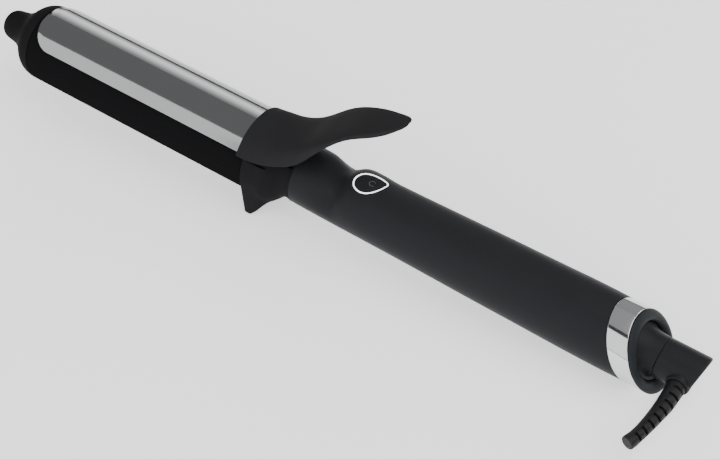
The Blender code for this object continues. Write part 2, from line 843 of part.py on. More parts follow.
def ear_top(x):
    # Half way through the lever's wall, over the ear's outer side.
    share = x / LEVER_LENGTH
    count = 40
    steps = [index / count for index in range(count + 1)]
    across = min(steps, key=lambda step: abs(lever_spot(share, step).y - EAR_HALF_SPAN))
    return lever_spot(share, across).lerp(lever_inner(share, across), EAR_SINK_SHARE).z


def ear(side):
    # A hinge ear: an eye round the pin and a web up into the lever.
    bm = bmesh.new()
    inner = side * (EAR_HALF_SPAN - EAR_THICK)
    outer = side * EAR_HALF_SPAN
    front = HINGE_X - EAR_HALF_LENGTH
    rear = HINGE_X + EAR_HALF_LENGTH
    low = HINGE_Z - EAR_HALF_LENGTH
    corner = 0.4 * EAR_HALF_LENGTH
    outline = (
        (front + corner, low),
        (front, low + corner),
        (front, ear_top(front)),
        (rear, ear_top(rear)),
        (rear, low + corner),
        (rear - corner, low),
    )
    rings = []
    for y in (inner, outer):
        rings.append([Vector((x, y, z)) for x, z in outline])
    return lofted(bm, rings)


def screw_rod(side, radius, inner_r, outer_r):
    x = CLAMP_REAR - SCREW_INSET
    angle = side * SCREW_ANGLE
    return cylinder(bmesh.new(), radius, polar(x, inner_r, angle), polar(x, outer_r, angle), 12)


SIDES = ((-1.0, "near"), (1.0, "far"))


def make_lever(parent, looks, origin):
    lever = place("lever", lever_body(), looks["lever"], parent, origin)
    for side, label in SIDES:
        cut(lever, place(label + "_ear", ear(side), looks["lever"], parent, origin), "UNION")
    reach = EAR_HALF_SPAN + GAP
    eye = cylinder(
        bmesh.new(), PIN_R + SEAT, (HINGE_X, -reach, HINGE_Z), (HINGE_X, reach, HINGE_Z), 16
    )
    cut(lever, place("eye", eye, looks["lever"], parent, origin))
    top = clamp_outer_r() + SCREW_DEPTH
    for side, label in SIDES:
        hole = screw_rod(side, SCREW_R + SEAT, BARREL_R, top + SEAT)
        cut(lever, place(label + "_hole", hole, looks["lever"], parent, origin))
    bake(lever)
    for side, label in SIDES:
        screw = screw_rod(side, SCREW_R, BARREL_R + 1.5 * GAP, top)
        place("clamp_screw_" + label, screw, looks["steel"], parent, origin)


def clamp_front(angle):
    # The clamp's front edge is square in the middle and swept back at the sides.
    side = abs(angle) / CLAMP_HALF_ANGLE
    past = max(0.0, (side - CLAMP_SQUARE_SHARE) / (1.0 - CLAMP_SQUARE_SHARE))
    sweep = 1.0 - math.sqrt(max(0.0, 1.0 - min(past, 1.0) ** 2))
    return CLAMP_FRONT + sweep * (CLAMP_SIDE_FRONT - CLAMP_FRONT)


def clamp_angles():
    square = CLAMP_SQUARE_SHARE * CLAMP_HALF_ANGLE
    swept = CLAMP_HALF_ANGLE - square
    half = [square + swept * math.sin(math.pi / 2 * index / 9) for index in range(10)]
    return [-angle for angle in reversed(half)] + [0.0] + half


def make_clamp(parent, looks, origin):
    inner = BARREL_R + GAP
    outer = clamp_outer_r()
    rings = []
    for angle in clamp_angles():
        front = clamp_front(angle)
        ring = [polar(front, inner, angle), polar(front, outer, angle)]
        ring += [polar(CLAMP_REAR, outer, angle), polar(CLAMP_REAR, inner, angle)]
        rings.append(ring)
    plate = place("clamp_plate", lofted(bmesh.new(), rings), looks["clamp"], parent, origin)
    for side, label in SIDES:
        hole = screw_rod(side, SCREW_R + SEAT, BARREL_R - OVERRUN, outer + OVERRUN)
        cut(plate, place(label + "_plate_hole", hole, looks["clamp"], parent, origin))
    bake(plate)


# Handle

HANDLE_RADIUS_SHARES = (
    (0.0, 0.0),
    (0.029, 0.08),
    (0.094, 0.17),
    (0.18, 0.25),
    (0.324, 0.35),
    (0.461, 0.52),
    (0.598, 0.7),
    (0.735, 0.83),
    (0.865, 0.98),
    (0.95, 0.98),
    (1.0, 0.9),
)

SCALLOP_SHARES = (
    (0.0, 0.0),
    (0.03, 0.03),
    (0.06, 0.2),
    (0.085, 0.6),
    (0.105, 0.92),
    (0.122, 1.0),
    (0.135, 0.82),
    (0.15, 0.42),
    (0.165, 0.12),
    (0.185, 0.0),
    (1.0, 0.0),
)

BOSS_SHARES = (
    (0.0, 0.0),
    (0.1, 0.6),
    (0.25, 1.0),
    (0.45, 1.0),
    (0.6, 0.72),
    (0.75, 0.2),
    (0.88, 0.0),
    (1.0, 0.0),
)


def handle_front():
    return BASE_LENGTH + GAP


def handle_length():
    return COLLAR_X - GAP - handle_front()


def scallop_window(angle):
    # Full over the top, fading out at the sides.
    off = abs(math.atan2(math.sin(angle), math.cos(angle)))
    share = (off - SCALLOP_FULL) / (SCALLOP_END - SCALLOP_FULL)
    share = min(max(share, 0.0), 1.0)
    return 1.0 - share * share * (3 - 2 * share)


def handle_radius(share, angle):
    fill = smooth_table(HANDLE_RADIUS_SHARES, share)[0]
    radius = HANDLE_FRONT_R + (HANDLE_R - HANDLE_FRONT_R) * fill
    dip = SCALLOP_DEPTH * max(0.0, smooth_table(SCALLOP_SHARES, share)[0])
    x = handle_front() + share * handle_length()
    rise = 0.0
    if BOSS_FRONT < x < BOSS_REAR:
        along = (x - BOSS_FRONT) / (BOSS_REAR - BOSS_FRONT)
        rise = BOSS_RISE * smooth_table(BOSS_SHARES, along)[0]
    return radius + (rise - dip) * scallop_window(angle)


def rear_slope(share):
    # The slant grows over the last part of the handle and is whole at its end.
    grown = min(max((share - SLANT_START_SHARE) / (1.0 - SLANT_START_SHARE), 0.0), 1.0)
    return math.tan(REAR_SLANT) * grown


def handle_ring(share, inset):
    x = handle_front() + share * handle_length()
    slope = rear_slope(share)
    ring = []
    for angle in ring_angles(HANDLE_RING_COUNT):
        radius = handle_radius(share, angle) - inset
        ring.append(polar(x, radius, angle, slope))
    return ring


def teardrop(inset, z, count=24, crown=0.0):
    # The button's outline seen from above: blunt in front, drawn out behind and turned.
    front = BUTTON_LENGTH * TEARDROP_MIDDLE_SHARE
    ring = []
    for index in range(count):
        angle = math.tau * index / count
        along = math.cos(angle)
        reach = BUTTON_LENGTH - front if along > 0.0 else front
        point = 1.0 - TEARDROP_POINT_SHARE * max(along, 0.0) ** 2
        length = (reach - inset) * along
        width = (BUTTON_HALF_WIDTH - inset) * math.sin(angle) * point
        x = BUTTON_X + length * math.cos(BUTTON_TURN) - width * math.sin(BUTTON_TURN)
        y = length * math.sin(BUTTON_TURN) + width * math.cos(BUTTON_TURN)
        drop = crown * (y / BUTTON_HALF_WIDTH) ** 2
        ring.append(Vector((x, y, z - drop)))
    return ring


def make_sleeve(parent, looks):
    outer = [handle_ring(share, 0.0) for share in HANDLE_STOP_SHARES]
    inner = [handle_ring(share, HANDLE_WALL) for share in reversed(HANDLE_STOP_SHARES)]
    sleeve = place("handle_sleeve", lofted(bmesh.new(), outer + inner, True), looks["handle"], parent)
    rings = [teardrop(-SEAT, 0.0), teardrop(-SEAT, BUTTON_TOP_Z + OVERRUN)]
    cut(sleeve, place("button_hole", lofted(bmesh.new(), rings), looks["handle"], parent))
    bake(sleeve)


def make_button(parent, body, looks, origin):
    base = BUTTON_TOP_Z - RING_DEPTH
    outer = [teardrop(0.0, base, crown=BUTTON_CROWN), teardrop(0.0, BUTTON_TOP_Z, crown=BUTTON_CROWN)]
    inner = [
        teardrop(RING_WIDTH, BUTTON_TOP_Z, crown=BUTTON_CROWN),
        teardrop(RING_WIDTH, base, crown=BUTTON_CROWN),
    ]
    place("light_ring", lofted(bmesh.new(), outer + inner, True), looks["light"], body)
    edge = RING_WIDTH + SEAT
    top = BUTTON_TOP_Z - PAD_SET_BACK
    rings = [
        teardrop(edge, top - BUTTON_DEPTH, crown=BUTTON_CROWN),
        teardrop(edge, top - PAD_SET_BACK, crown=BUTTON_CROWN),
        teardrop(2 * edge, top, crown=BUTTON_CROWN),
    ]
    button = place("power_button", lofted(bmesh.new(), rings), looks["button"], parent, origin)
    x = BUTTON_X
    foot = switch_top() + BUTTON_TRAVEL + GAP
    stem = cylinder(bmesh.new(), STEM_BUTTON_R, (x, 0.0, foot), (x, 0.0, top - BUTTON_DEPTH / 2), 12)
    cut(button, place("button_stem", stem, looks["button"], parent, origin), "UNION")
    bake(button)


def board_rear():
    return CARRIER_X - BOARD_REAR_ROOM


def board_top():
    return BOARD_Z + BOARD_THICK


def switch_top():
    return board_top() + GAP + SWITCH_HEIGHT


# Rear end

def make_collar(parent, looks):
    rear = COLLAR_X + COLLAR_LENGTH
    profile = tube_profile(COLLAR_X, rear, COLLAR_R, COLLAR_R - COLLAR_THICK)
    turned("collar_ring", profile, looks["chrome"], parent, steps=32, slant=REAR_SLANT)


def make_end_cap(parent, looks):
    inner = COLLAR_R - COLLAR_THICK - SEAT
    spigot = HANDLE_R - HANDLE_WALL - 2 * SEAT
    start = COLLAR_X + COLLAR_LENGTH + GAP
    reach = COLLAR_R - CAP_RECESS_R
    front = COLLAR_X - CAP_SPIGOT_LENGTH
    profile = [
        (front, CAP_RECESS_R),
        (front, spigot),
        (COLLAR_X, spigot),
        (COLLAR_X, inner),
        (start, inner),
        (start, COLLAR_R - GAP / 2),
    ]
    for along, out in CAP_LIP_SHARES:
        profile.append((start + along * CAP_DEPTH, CAP_RECESS_R + out * reach))
    turned("end_cap", profile, looks["cap"], parent, steps=32, slant=REAR_SLANT)


def make_hub(parent, looks):
    rear = SEAM_X - GAP / 2
    flare = rear - HUB_FLARE_X
    profile = [(HUB_FRONT, STEM_R + SEAT), (HUB_FRONT, CAP_RECESS_R - GAP)]
    for along, out in HUB_SHARES:
        radius = HUB_R + out * (CAP_RECESS_R - GAP - HUB_R)
        profile.append((HUB_FLARE_X + along * flare, radius))
    profile.append((rear, STEM_R + SEAT))
    bm = spun(bmesh.new(), profile, 32)
    for vert in bm.verts:
        if HUB_FLARE_X - WELD < vert.co.x < rear - WELD:
            share = (rear - vert.co.x) / flare
            vert.co.x -= share * vert.co.z * math.tan(REAR_SLANT)
    place("swivel_hub", bm, looks["swivel"], parent)
    front = CARRIER_X
    end = front + CARRIER_LENGTH
    outer = HANDLE_R - HANDLE_WALL - 1.5 * GAP
    ring = tube_profile(front, end, outer, CARRIER_BORE_R)
    turned("contact_carrier", ring, looks["mount"], parent, steps=28)
    low = STEM_R + SLIP_RING_THICK + 2 * SEAT
    for step in (0, 1):
        x = front + GAP + step * (SLIP_RING_WIDTH + SLIP_RING_SPACE)
        reach = math.sqrt(CARRIER_BORE_R ** 2 - SLIP_RING_WIDTH ** 2) - SEAT
        leaf = boxed(bmesh.new(), (x, -SLIP_RING_WIDTH, low), (x + SLIP_RING_WIDTH, SLIP_RING_WIDTH, reach))
        place("contact_spring_" + str(step + 1), leaf, looks["brass"], parent)


def make_swivel(parent, looks, origin):
    flange_rear = HUB_FRONT - GAP
    flange_front = flange_rear - STEM_FLANGE_THICK
    rear = SEAM_X - GAP / 2
    profile = [
        (CARRIER_X, RELIEF_BORE_R),
        (CARRIER_X, STEM_R),
        (flange_front, STEM_R),
        (flange_front, STEM_FLANGE_R),
        (flange_rear, STEM_FLANGE_R),
        (flange_rear, STEM_R),
        (rear, STEM_R),
        (rear, RELIEF_BORE_R),
    ]
    turned("swivel_stem", profile, looks["mount"], parent, steps=24, origin=origin)
    for step in (0, 1):
        x = CARRIER_X + GAP + step * (SLIP_RING_WIDTH + SLIP_RING_SPACE)
        ring = tube_profile(x, x + SLIP_RING_WIDTH, STEM_R + SEAT + SLIP_RING_THICK, STEM_R + SEAT)
        label = "slip_ring_" + str(step + 1)
        turned(label, ring, looks["brass"], parent, steps=20, origin=origin)
    make_elbow(parent, looks, origin)
    place("strain_relief", relief_body(), looks["relief"], parent, origin)


def make_elbow(parent, looks, origin):
    front = SEAM_X + GAP / 2
    rear = SEAM_X + ELBOW_LENGTH
    edge = ELBOW_EDGE
    profile = [
        (front, 0.0),
        (front, ELBOW_R - edge / 2),
        (front + edge / 2, ELBOW_R),
        (rear - edge, ELBOW_R),
        (rear - 0.3 * edge, ELBOW_R - 0.3 * edge),
        (rear, ELBOW_R - edge),
        (rear, 0.0),
    ]
    bm = spun(bmesh.new(), profile, 32)
    for vert in bm.verts:
        share = (vert.co.x - front) / (rear - front)
        if share > 0.5:
            vert.co.x += ELBOW_REAR_SLOPE_SHARE * vert.co.z + ELBOW_SIDE_SLOPE_SHARE * vert.co.y
    elbow = place("swivel_elbow", bm, looks["swivel"], parent, origin)
    ways = (
        (RELIEF_BORE_R, (front - OVERRUN, 0.0, 0.0), (RELIEF_X + RELIEF_BORE_R / 2, 0.0, 0.0), "bore"),
        (RELIEF_BORE_R, (RELIEF_X, RELIEF_BORE_R / 2, 0.0), (RELIEF_X, -RELIEF_START, 0.0), "side_bore"),
        (
            RELIEF_ROOT_R + SEAT,
            (RELIEF_X, SEAT - RELIEF_START, 0.0),
            (RELIEF_X, -ELBOW_R - OVERRUN, 0.0),
            "relief_seat",
        ),
    )
    for radius, start, end, label in ways:
        tool = place(label, cylinder(bmesh.new(), radius, start, end, 20), looks["swivel"], parent, origin)
        cut(elbow, tool)
    bake(elbow)


def relief_centre(share):
    bend = smooth_table(RELIEF_BEND_SHARES, share)[0]
    return Vector((RELIEF_X - bend * RELIEF_BEND, -RELIEF_START - share * RELIEF_LENGTH, 0.0))


def relief_ring(share, radius):
    nudge = 0.01
    along = relief_centre(min(share + nudge, 1.0)) - relief_centre(max(share - nudge, 0.0))
    along.normalize()
    side = along.cross(Vector((0.0, 0.0, 1.0)))
    centre = relief_centre(share)
    ring = []
    for angle in ring_angles(RELIEF_RING_COUNT):
        spoke = side * math.cos(angle) + Vector((0.0, 0.0, 1.0)) * math.sin(angle)
        ring.append(centre + spoke * radius)
    return ring


def relief_body():
    # A tapered sleeve with flex slots round it, over the cord's bore.
    rings = []
    stops = [(0.0, 0.0), (RELIEF_ROOT_SHARE, 0.0), (RELIEF_ROOT_SHARE + 0.02, 0.0)]
    pitch = (SLOT_END_SHARE - SLOT_START_SHARE) / SLOT_COUNT
    for index in range(SLOT_COUNT):
        base = SLOT_START_SHARE + index * pitch
        stops += [(base, 0.0), (base + 0.06 * pitch, 1.0)]
        stops += [(base + 0.44 * pitch, 1.0), (base + 0.5 * pitch, 0.0)]
    stops += [(SLOT_END_SHARE, 0.0), (SLOT_END_SHARE + 0.02, 0.0), (0.985, 0.0), (1.0, 0.0)]
    for share, depth in stops:
        full = smooth_table(RELIEF_RADIUS_SHARES, share)[0] * RELIEF_ROOT_R
        rings.append(relief_ring(share, full - depth * SLOT_DEPTH))
    for share in (1.0, 0.8, 0.6, 0.4, 0.2, 0.0):
        rings.append(relief_ring(share, RELIEF_BORE_R))
    return lofted(bmesh.new(), rings, True)


# Board and tray

def tray_ring(x):
    share = (x - handle_front()) / handle_length()
    level = BOARD_Z - GAP
    side = handle_radius(share, math.pi / 2) - HANDLE_WALL - TRAY_FIT
    start = math.acos(level / side)
    ring = []
    for index in range(TRAY_ARC_COUNT + 1):
        angle = start + (math.tau - 2 * start) * index / TRAY_ARC_COUNT
        radius = handle_radius(share, angle) - HANDLE_WALL - TRAY_FIT
        ring.append(polar(x, radius, angle))
    half = BOARD_HALF_WIDTH - TRAY_LEDGE
    floor = TRAY_THICK - (handle_radius(share, math.pi) - HANDLE_WALL - TRAY_FIT)
    ring.append(Vector((x, -half, level)))
    ring.append(Vector((x, -half * TRAY_NARROW_SHARE, floor)))
    ring.append(Vector((x, half * TRAY_NARROW_SHARE, floor)))
    ring.append(Vector((x, half, level)))
    return ring


def make_tray(parent, looks):
    front = BASE_LENGTH + SPIGOT_LENGTH + GAP
    rear = board_rear()
    stops = [front + (rear - front) * index / 6 for index in range(7)]
    rings = [tray_ring(x) for x in stops]
    place("chassis_tray", lofted(bmesh.new(), rings), looks["tray"], parent)


def on_board(bm, x, y, length, width, height):
    low = board_top() + GAP
    return boxed(bm, (x, y - width / 2, low), (x + length, y + width / 2, low + height))


def make_board(parent, looks):
    board = boxed(
        bmesh.new(),
        (BOARD_FRONT, -BOARD_HALF_WIDTH, BOARD_Z),
        (board_rear(), BOARD_HALF_WIDTH, board_top()),
    )
    place("circuit_board", board, looks["board"], parent)
    x = BUTTON_X
    switch = on_board(bmesh.new(), x - SWITCH_SIDE / 2, 0.0, SWITCH_SIDE, SWITCH_SIDE, SWITCH_HEIGHT)
    place("tact_switch", switch, looks["black"], parent)
    half = BUTTON_LENGTH / 2
    for where, label in ((BUTTON_X - half - LAMP_LENGTH, "front"), (BUTTON_X + half, "rear")):
        lamp = on_board(bmesh.new(), where, 0.0, LAMP_LENGTH, LAMP_WIDTH, LAMP_WIDTH / 2)
        place("ring_lamp_" + label, lamp, looks["lamp"], parent)
    radius = CAPACITOR_R
    level = board_top() + GAP + radius
    start = BUTTON_X + half + 2.4 * CAPACITOR_R
    body = cylinder(bmesh.new(), radius, (start, 0.0, level), (start + CAPACITOR_LENGTH, 0.0, level), 20)
    place("capacitor", body, looks["can"], parent)
    triac_x = start + CAPACITOR_LENGTH + CAPACITOR_R
    chip = on_board(bmesh.new(), triac_x, 0.0, TRIAC_LENGTH, TRIAC_WIDTH, TRIAC_HEIGHT)
    place("triac", chip, looks["black"], parent)
    make_heat_sink(triac_x + TRIAC_LENGTH + GAP, parent, looks)
    block_x = board_rear() - BLOCK_LENGTH - GAP
    block = on_board(bmesh.new(), block_x, 0.0, BLOCK_LENGTH, BLOCK_WIDTH, BLOCK_HEIGHT)
    place("terminal_block", block, looks["block"], parent)
    lead_z = board_top() + GAP + BLOCK_HEIGHT / 2
    for side, label in SIDES:
        begin = (block_x + BLOCK_LENGTH + GAP, side * LEAD_HALF_SPACING, lead_z)
        middle = (CARRIER_X - 5 * LEAD_R, side * 1.2 * LEAD_HALF_SPACING, lead_z + LEAD_R)
        radius = (CARRIER_BORE_R + HANDLE_R - HANDLE_WALL) / 2
        end = polar(CARRIER_X - GAP, radius, side * LEAD_END_ANGLE)
        straight = end - Vector((LEAD_R, 0.0, 0.0))
        wire("supply_lead_" + label, [begin, middle, straight, end], LEAD_R, looks["lead"], parent)


def make_heat_sink(x, parent, looks):
    # A comb section drawn along X: a foot and upright fins.
    low = board_top() + GAP
    foot = low + SINK_FOOT
    fin = SINK_WIDTH / (2 * SINK_FIN_COUNT - 1)
    left = -SINK_WIDTH / 2
    outline = [(left, low)]
    for index in range(SINK_FIN_COUNT):
        near = left + 2 * index * fin
        outline += [(near, foot), (near, low + SINK_HEIGHT), (near + fin, low + SINK_HEIGHT)]
        outline.append((near + fin, foot))
    outline.append((left + SINK_WIDTH, low))
    outline = [spot for spot in outline if spot not in ((left, foot), (left + SINK_WIDTH, foot))]
    rings = []
    for place_x in (x, x + SINK_LENGTH):
        rings.append([Vector((place_x, y, z)) for y, z in outline])
    place("heat_sink", lofted(bmesh.new(), rings), looks["aluminium"], parent)


# Looks and assembly

LOOKS = {
    "barrel": ((0.012, 0.012, 0.013), 0.22, 0.0),
    "tip": ((0.016, 0.016, 0.017), 0.55, 0.0),
    "mica": ((0.55, 0.48, 0.36), 0.6, 0.0),
    "aluminium": ((0.7, 0.71, 0.72), 0.4, 1.0),
    "ceramic": ((0.83, 0.8, 0.73), 0.5, 0.0),
    "steel": ((0.55, 0.55, 0.56), 0.3, 1.0),
    "mount": ((0.09, 0.06, 0.04), 0.6, 0.0),
    "brass": ((0.72, 0.53, 0.25), 0.35, 1.0),
    "glass": ((0.55, 0.3, 0.12), 0.2, 0.0),
    "lead": ((0.75, 0.73, 0.68), 0.55, 0.0),
    "base": ((0.018, 0.018, 0.019), 0.5, 0.0),
    "lever": ((0.02, 0.02, 0.021), 0.48, 0.0),
    "clamp": ((0.2, 0.205, 0.21), 0.18, 1.0),
    "handle": ((0.02, 0.02, 0.022), 0.55, 0.0),
    "light": ((0.92, 0.93, 0.95), 0.35, 0.0),
    "button": ((0.03, 0.03, 0.032), 0.4, 0.0),
    "chrome": ((0.6, 0.61, 0.61), 0.14, 1.0),
    "cap": ((0.035, 0.038, 0.042), 0.32, 0.0),
    "swivel": ((0.028, 0.028, 0.03), 0.45, 0.0),
    "relief": ((0.018, 0.018, 0.019), 0.6, 0.0),
    "tray": ((0.12, 0.12, 0.13), 0.6, 0.0),
    "board": ((0.03, 0.16, 0.07), 0.5, 0.0),
    "black": ((0.02, 0.02, 0.02), 0.5, 0.0),
    "lamp": ((0.9, 0.88, 0.7), 0.3, 0.0),
    "can": ((0.05, 0.07, 0.16), 0.4, 0.0),
    "block": ((0.1, 0.25, 0.12), 0.5, 0.0),
}


def stand_on_foot():
    # The tong's empty: the middle of the foot's flat bottom is the world's origin.
    lean = lean_angle()
    foot_x = BASE_FRONT + (BASE_EDGE_ROUND + FOOT_THICK) / 2
    foot = Vector((foot_x, 0.0, foot_x * math.tan(lean) - FOOT_DROP))
    turn = Matrix.Rotation(lean, 3, "Y")
    root = empty("tong", -(turn @ foot))
    root.rotation_euler = (0.0, lean, 0.0)
    return root


def main():
    remove_everything()
    looks = {name: material(name, *values) for name, values in LOOKS.items()}
    root = stand_on_foot()
    hinge = Vector((HINGE_X, 0.0, HINGE_Z))
    press = Vector((BUTTON_X, 0.0, BUTTON_TOP_Z))
    seam = Vector((SEAM_X, 0.0, 0.0))
    lever_pivot = empty("lever_pivot", hinge, root)
    button_slide = empty("button_slide", press, root)
    swivel_axis = empty("swivel_axis", seam, root)
    make_barrel(root, looks)
    make_cool_tip(root, looks)
    make_heater(root, looks)
    make_barrel_mount(root, looks)
    make_heater_leads(root, looks)
    make_stand_base(root, looks)
    make_hinge_spring(root, looks)
    make_lever(lever_pivot, looks, hinge)
    make_clamp(lever_pivot, looks, hinge)
    make_sleeve(root, looks)
    make_button(button_slide, root, looks, press)
    make_tray(root, looks)
    make_board(root, looks)
    make_collar(root, looks)
    make_end_cap(root, looks)
    make_hub(root, looks)
    make_swivel(swivel_axis, looks, seam)


main()
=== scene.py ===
import json
import math

import bmesh
import bpy
from mathutils import Matrix, Vector


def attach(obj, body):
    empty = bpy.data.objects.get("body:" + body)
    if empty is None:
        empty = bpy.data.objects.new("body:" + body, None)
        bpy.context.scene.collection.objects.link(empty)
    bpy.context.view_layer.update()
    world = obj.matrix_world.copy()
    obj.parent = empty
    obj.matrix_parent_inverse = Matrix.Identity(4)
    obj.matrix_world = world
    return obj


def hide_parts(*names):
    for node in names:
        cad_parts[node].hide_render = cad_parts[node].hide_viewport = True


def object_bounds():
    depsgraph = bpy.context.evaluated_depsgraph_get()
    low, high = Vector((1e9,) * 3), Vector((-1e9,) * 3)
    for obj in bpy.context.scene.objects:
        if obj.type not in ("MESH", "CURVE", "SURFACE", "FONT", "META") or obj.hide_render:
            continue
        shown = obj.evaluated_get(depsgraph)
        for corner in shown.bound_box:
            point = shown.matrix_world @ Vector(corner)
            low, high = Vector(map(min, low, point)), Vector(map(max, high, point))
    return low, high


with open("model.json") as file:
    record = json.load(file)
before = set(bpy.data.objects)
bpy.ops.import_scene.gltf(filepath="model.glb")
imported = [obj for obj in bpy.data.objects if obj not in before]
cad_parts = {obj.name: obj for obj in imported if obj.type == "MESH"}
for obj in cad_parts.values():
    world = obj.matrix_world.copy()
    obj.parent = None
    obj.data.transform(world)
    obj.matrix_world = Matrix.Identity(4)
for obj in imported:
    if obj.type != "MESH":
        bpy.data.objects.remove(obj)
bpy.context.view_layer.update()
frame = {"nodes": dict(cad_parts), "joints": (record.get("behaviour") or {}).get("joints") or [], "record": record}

MM = 0.001

# The tong's own frame: x along its axis from the barrel's root, z out through the thumb lever

# The place along the axis where the cord outlet meets the handle's hub
SEAM_X = 173.05


def tong_frame():
    """The leaned frame in metres, from the cord swivel's axis and place."""
    swivel = next(joint for joint in frame["joints"] if joint["name"] == "cord_swivel")
    along = Vector(swivel["axis"]).normalized()
    across = Vector((0.0, 1.0, 0.0))
    up = along.cross(across)
    start = Vector(swivel["pos_m"]) - along * SEAM_X * MM
    columns = Matrix((along, across, up)).transposed()
    return Matrix.Translation(start) @ columns.to_4x4()


TONG = tong_frame()


# Node trees


class Signal:
    """A socket of a node tree; sums worked on it add their Math nodes."""

    def __init__(self, tree, socket=None):
        self.tree = tree
        self.socket = socket

    def node(self, kind, settings=None, inputs=None, output=0):
        """Adds a node: its settings come first, then the values or links of its sockets."""
        made = self.tree.nodes.new(kind)
        for name, value in (settings or {}).items():
            setattr(made, name, value)
        for key, value in (inputs or {}).items():
            if isinstance(value, Signal):
                self.tree.links.new(value.socket, made.inputs[key])
            else:
                made.inputs[key].default_value = value
        return Signal(self.tree, made.outputs[output])

    def sum_of(self, operation, *values):
        return self.node("ShaderNodeMath", {"operation": operation}, dict(enumerate(values)))

    def __add__(self, other):
        return self.sum_of("ADD", self, other)

    def __radd__(self, other):
        return self.sum_of("ADD", other, self)

    def __sub__(self, other):
        return self.sum_of("SUBTRACT", self, other)

    def __rsub__(self, other):
        return self.sum_of("SUBTRACT", other, self)

    def __mul__(self, other):
        return self.sum_of("MULTIPLY", self, other)

    def __rmul__(self, other):
        return self.sum_of("MULTIPLY", other, self)

    def __truediv__(self, other):
        return self.sum_of("DIVIDE", self, other)

    def __rtruediv__(self, other):
        return self.sum_of("DIVIDE", other, self)


def grain(start, place, size, detail=2.0):
    """Soft random grain from 0 to 1, with features about one size across, in metres."""
    inputs = {"Vector": place, "Scale": 1.0 / size, "Detail": detail}
    return start.node("ShaderNodeTexNoise", None, inputs, "Fac")


def pits(start, place, size):
    inputs = {"Vector": place, "Scale": 1.0 / size}
    return start.node("ShaderNodeTexVoronoi", None, inputs, "Distance")


def stretched(start, place, stretch):
    inputs = {0: place, 1: stretch}
    return start.node("ShaderNodeVectorMath", {"operation": "MULTIPLY"}, inputs)


def blend_colours(start, share, first, second):
    inputs = {0: share, 6: (*first, 1.0), 7: (*second, 1.0)}
    return start.node("ShaderNodeMix", {"data_type": "RGBA"}, inputs, 2)


def scaled(colour, factor):
    return [min(1.0, factor * part) for part in colour]


def raised(start, height, distance):
    inputs = {"Height": height, "Distance": distance}
    return start.node("ShaderNodeBump", None, inputs, "Normal")


def finish_named(name, fixed, recipe):
    """A material whose shader has fixed sockets, and others fed by a recipe."""
    made = bpy.data.materials.new(name)
    made.use_nodes = True
    tree = made.node_tree
    shader = tree.nodes["Principled BSDF"]
    for socket, value in fixed.items():
        shader.inputs[socket].default_value = value
    start = Signal(tree)
    place = start.node("ShaderNodeTexCoord", output="Object")
    for socket, signal in recipe(start, place).items():
        tree.links.new(signal.socket, shader.inputs[socket])
    return made


# Finishes: the shader's fixed sockets and the recipe for the others, with grain in millimetres


def moulded(colour, rough, size, depth, gloss=0.004, lighter=1.35, coat=0.0):
    """Moulded plastic with a spark-eroded grain."""

    def recipe(start, place):
        fine = grain(start, place, size * MM, detail=3.0)
        broad = grain(start, place, 9.0 * MM, detail=4.0)
        share = 0.6 * fine + 0.4 * broad
        return {
            "Base Color": blend_colours(start, share, colour, scaled(colour, lighter)),
            "Roughness": rough + 0.1 * (broad - 0.5) + 0.06 * (fine - 0.5),
            "Normal": raised(start, fine, depth * MM),
        }

    return {"Coat Weight": coat, "Coat Roughness": 0.2, "Specular IOR Level": gloss}, recipe


def brushed(colour, rough, size, depth):
    """Metal with fine lines along the tong."""

    def recipe(start, place):
        lines = grain(start, stretched(start, place, (0.04, 1.0, 1.0)), size * MM, detail=3.0)
        broad = grain(start, place, 14.0 * MM, detail=3.0)
        share = 0.5 * lines + 0.5 * broad
        return {
            "Base Color": blend_colours(start, share, scaled(colour, 0.86), colour),
            "Roughness": rough + 0.08 * (lines - 0.5) + 0.05 * (broad - 0.5),
            "Normal": raised(start, lines, depth * MM),
        }

    return {"Metallic": 1.0}, recipe


def coated_metal(colour, rough):
    """The barrel's baked ceramic coat: near black, with a faint orange peel."""

    def recipe(start, place):
        peel = grain(start, place, 2.6 * MM)
        speck = grain(start, place, 0.35 * MM)
        cloud = grain(start, place, 30.0 * MM, detail=3.0)
        return {
            "Base Color": blend_colours(start, speck, colour, scaled(colour, 1.5)),
            "Roughness": rough + 0.08 * (cloud - 0.5) + 0.04 * (speck - 0.5),
            "Normal": raised(start, peel, 0.006 * MM),
        }

    return {"Specular IOR Level": 0.0}, recipe


def fired_clay(colour):
    def recipe(start, place):
        hollow = pits(start, place, 0.7 * MM)
        cloud = grain(start, place, 5.0 * MM, detail=4.0)
        return {
            "Base Color": blend_colours(start, cloud, scaled(colour, 0.8), colour),
            "Roughness": 0.75 + 0.15 * (cloud - 0.5),
            "Normal": raised(start, hollow, 0.03 * MM),
        }

    return {}, recipe


def lacquered_board(colour):
    """Green lacquer over glass weave."""

    def recipe(start, place):
        bricks = {"Vector": stretched(start, place, (1.0, 1.0, 0.2)), "Scale": 900.0}
        weave = start.node("ShaderNodeTexBrick", None, bricks, "Fac")
        cloud = grain(start, place, 6.0 * MM, detail=3.0)
        share = 0.5 * weave + 0.5 * cloud
        return {
            "Base Color": blend_colours(start, share, scaled(colour, 0.7), colour),
            "Roughness": 0.3 + 0.15 * cloud,
            "Normal": raised(start, weave, 0.01 * MM),
        }

    return {}, recipe


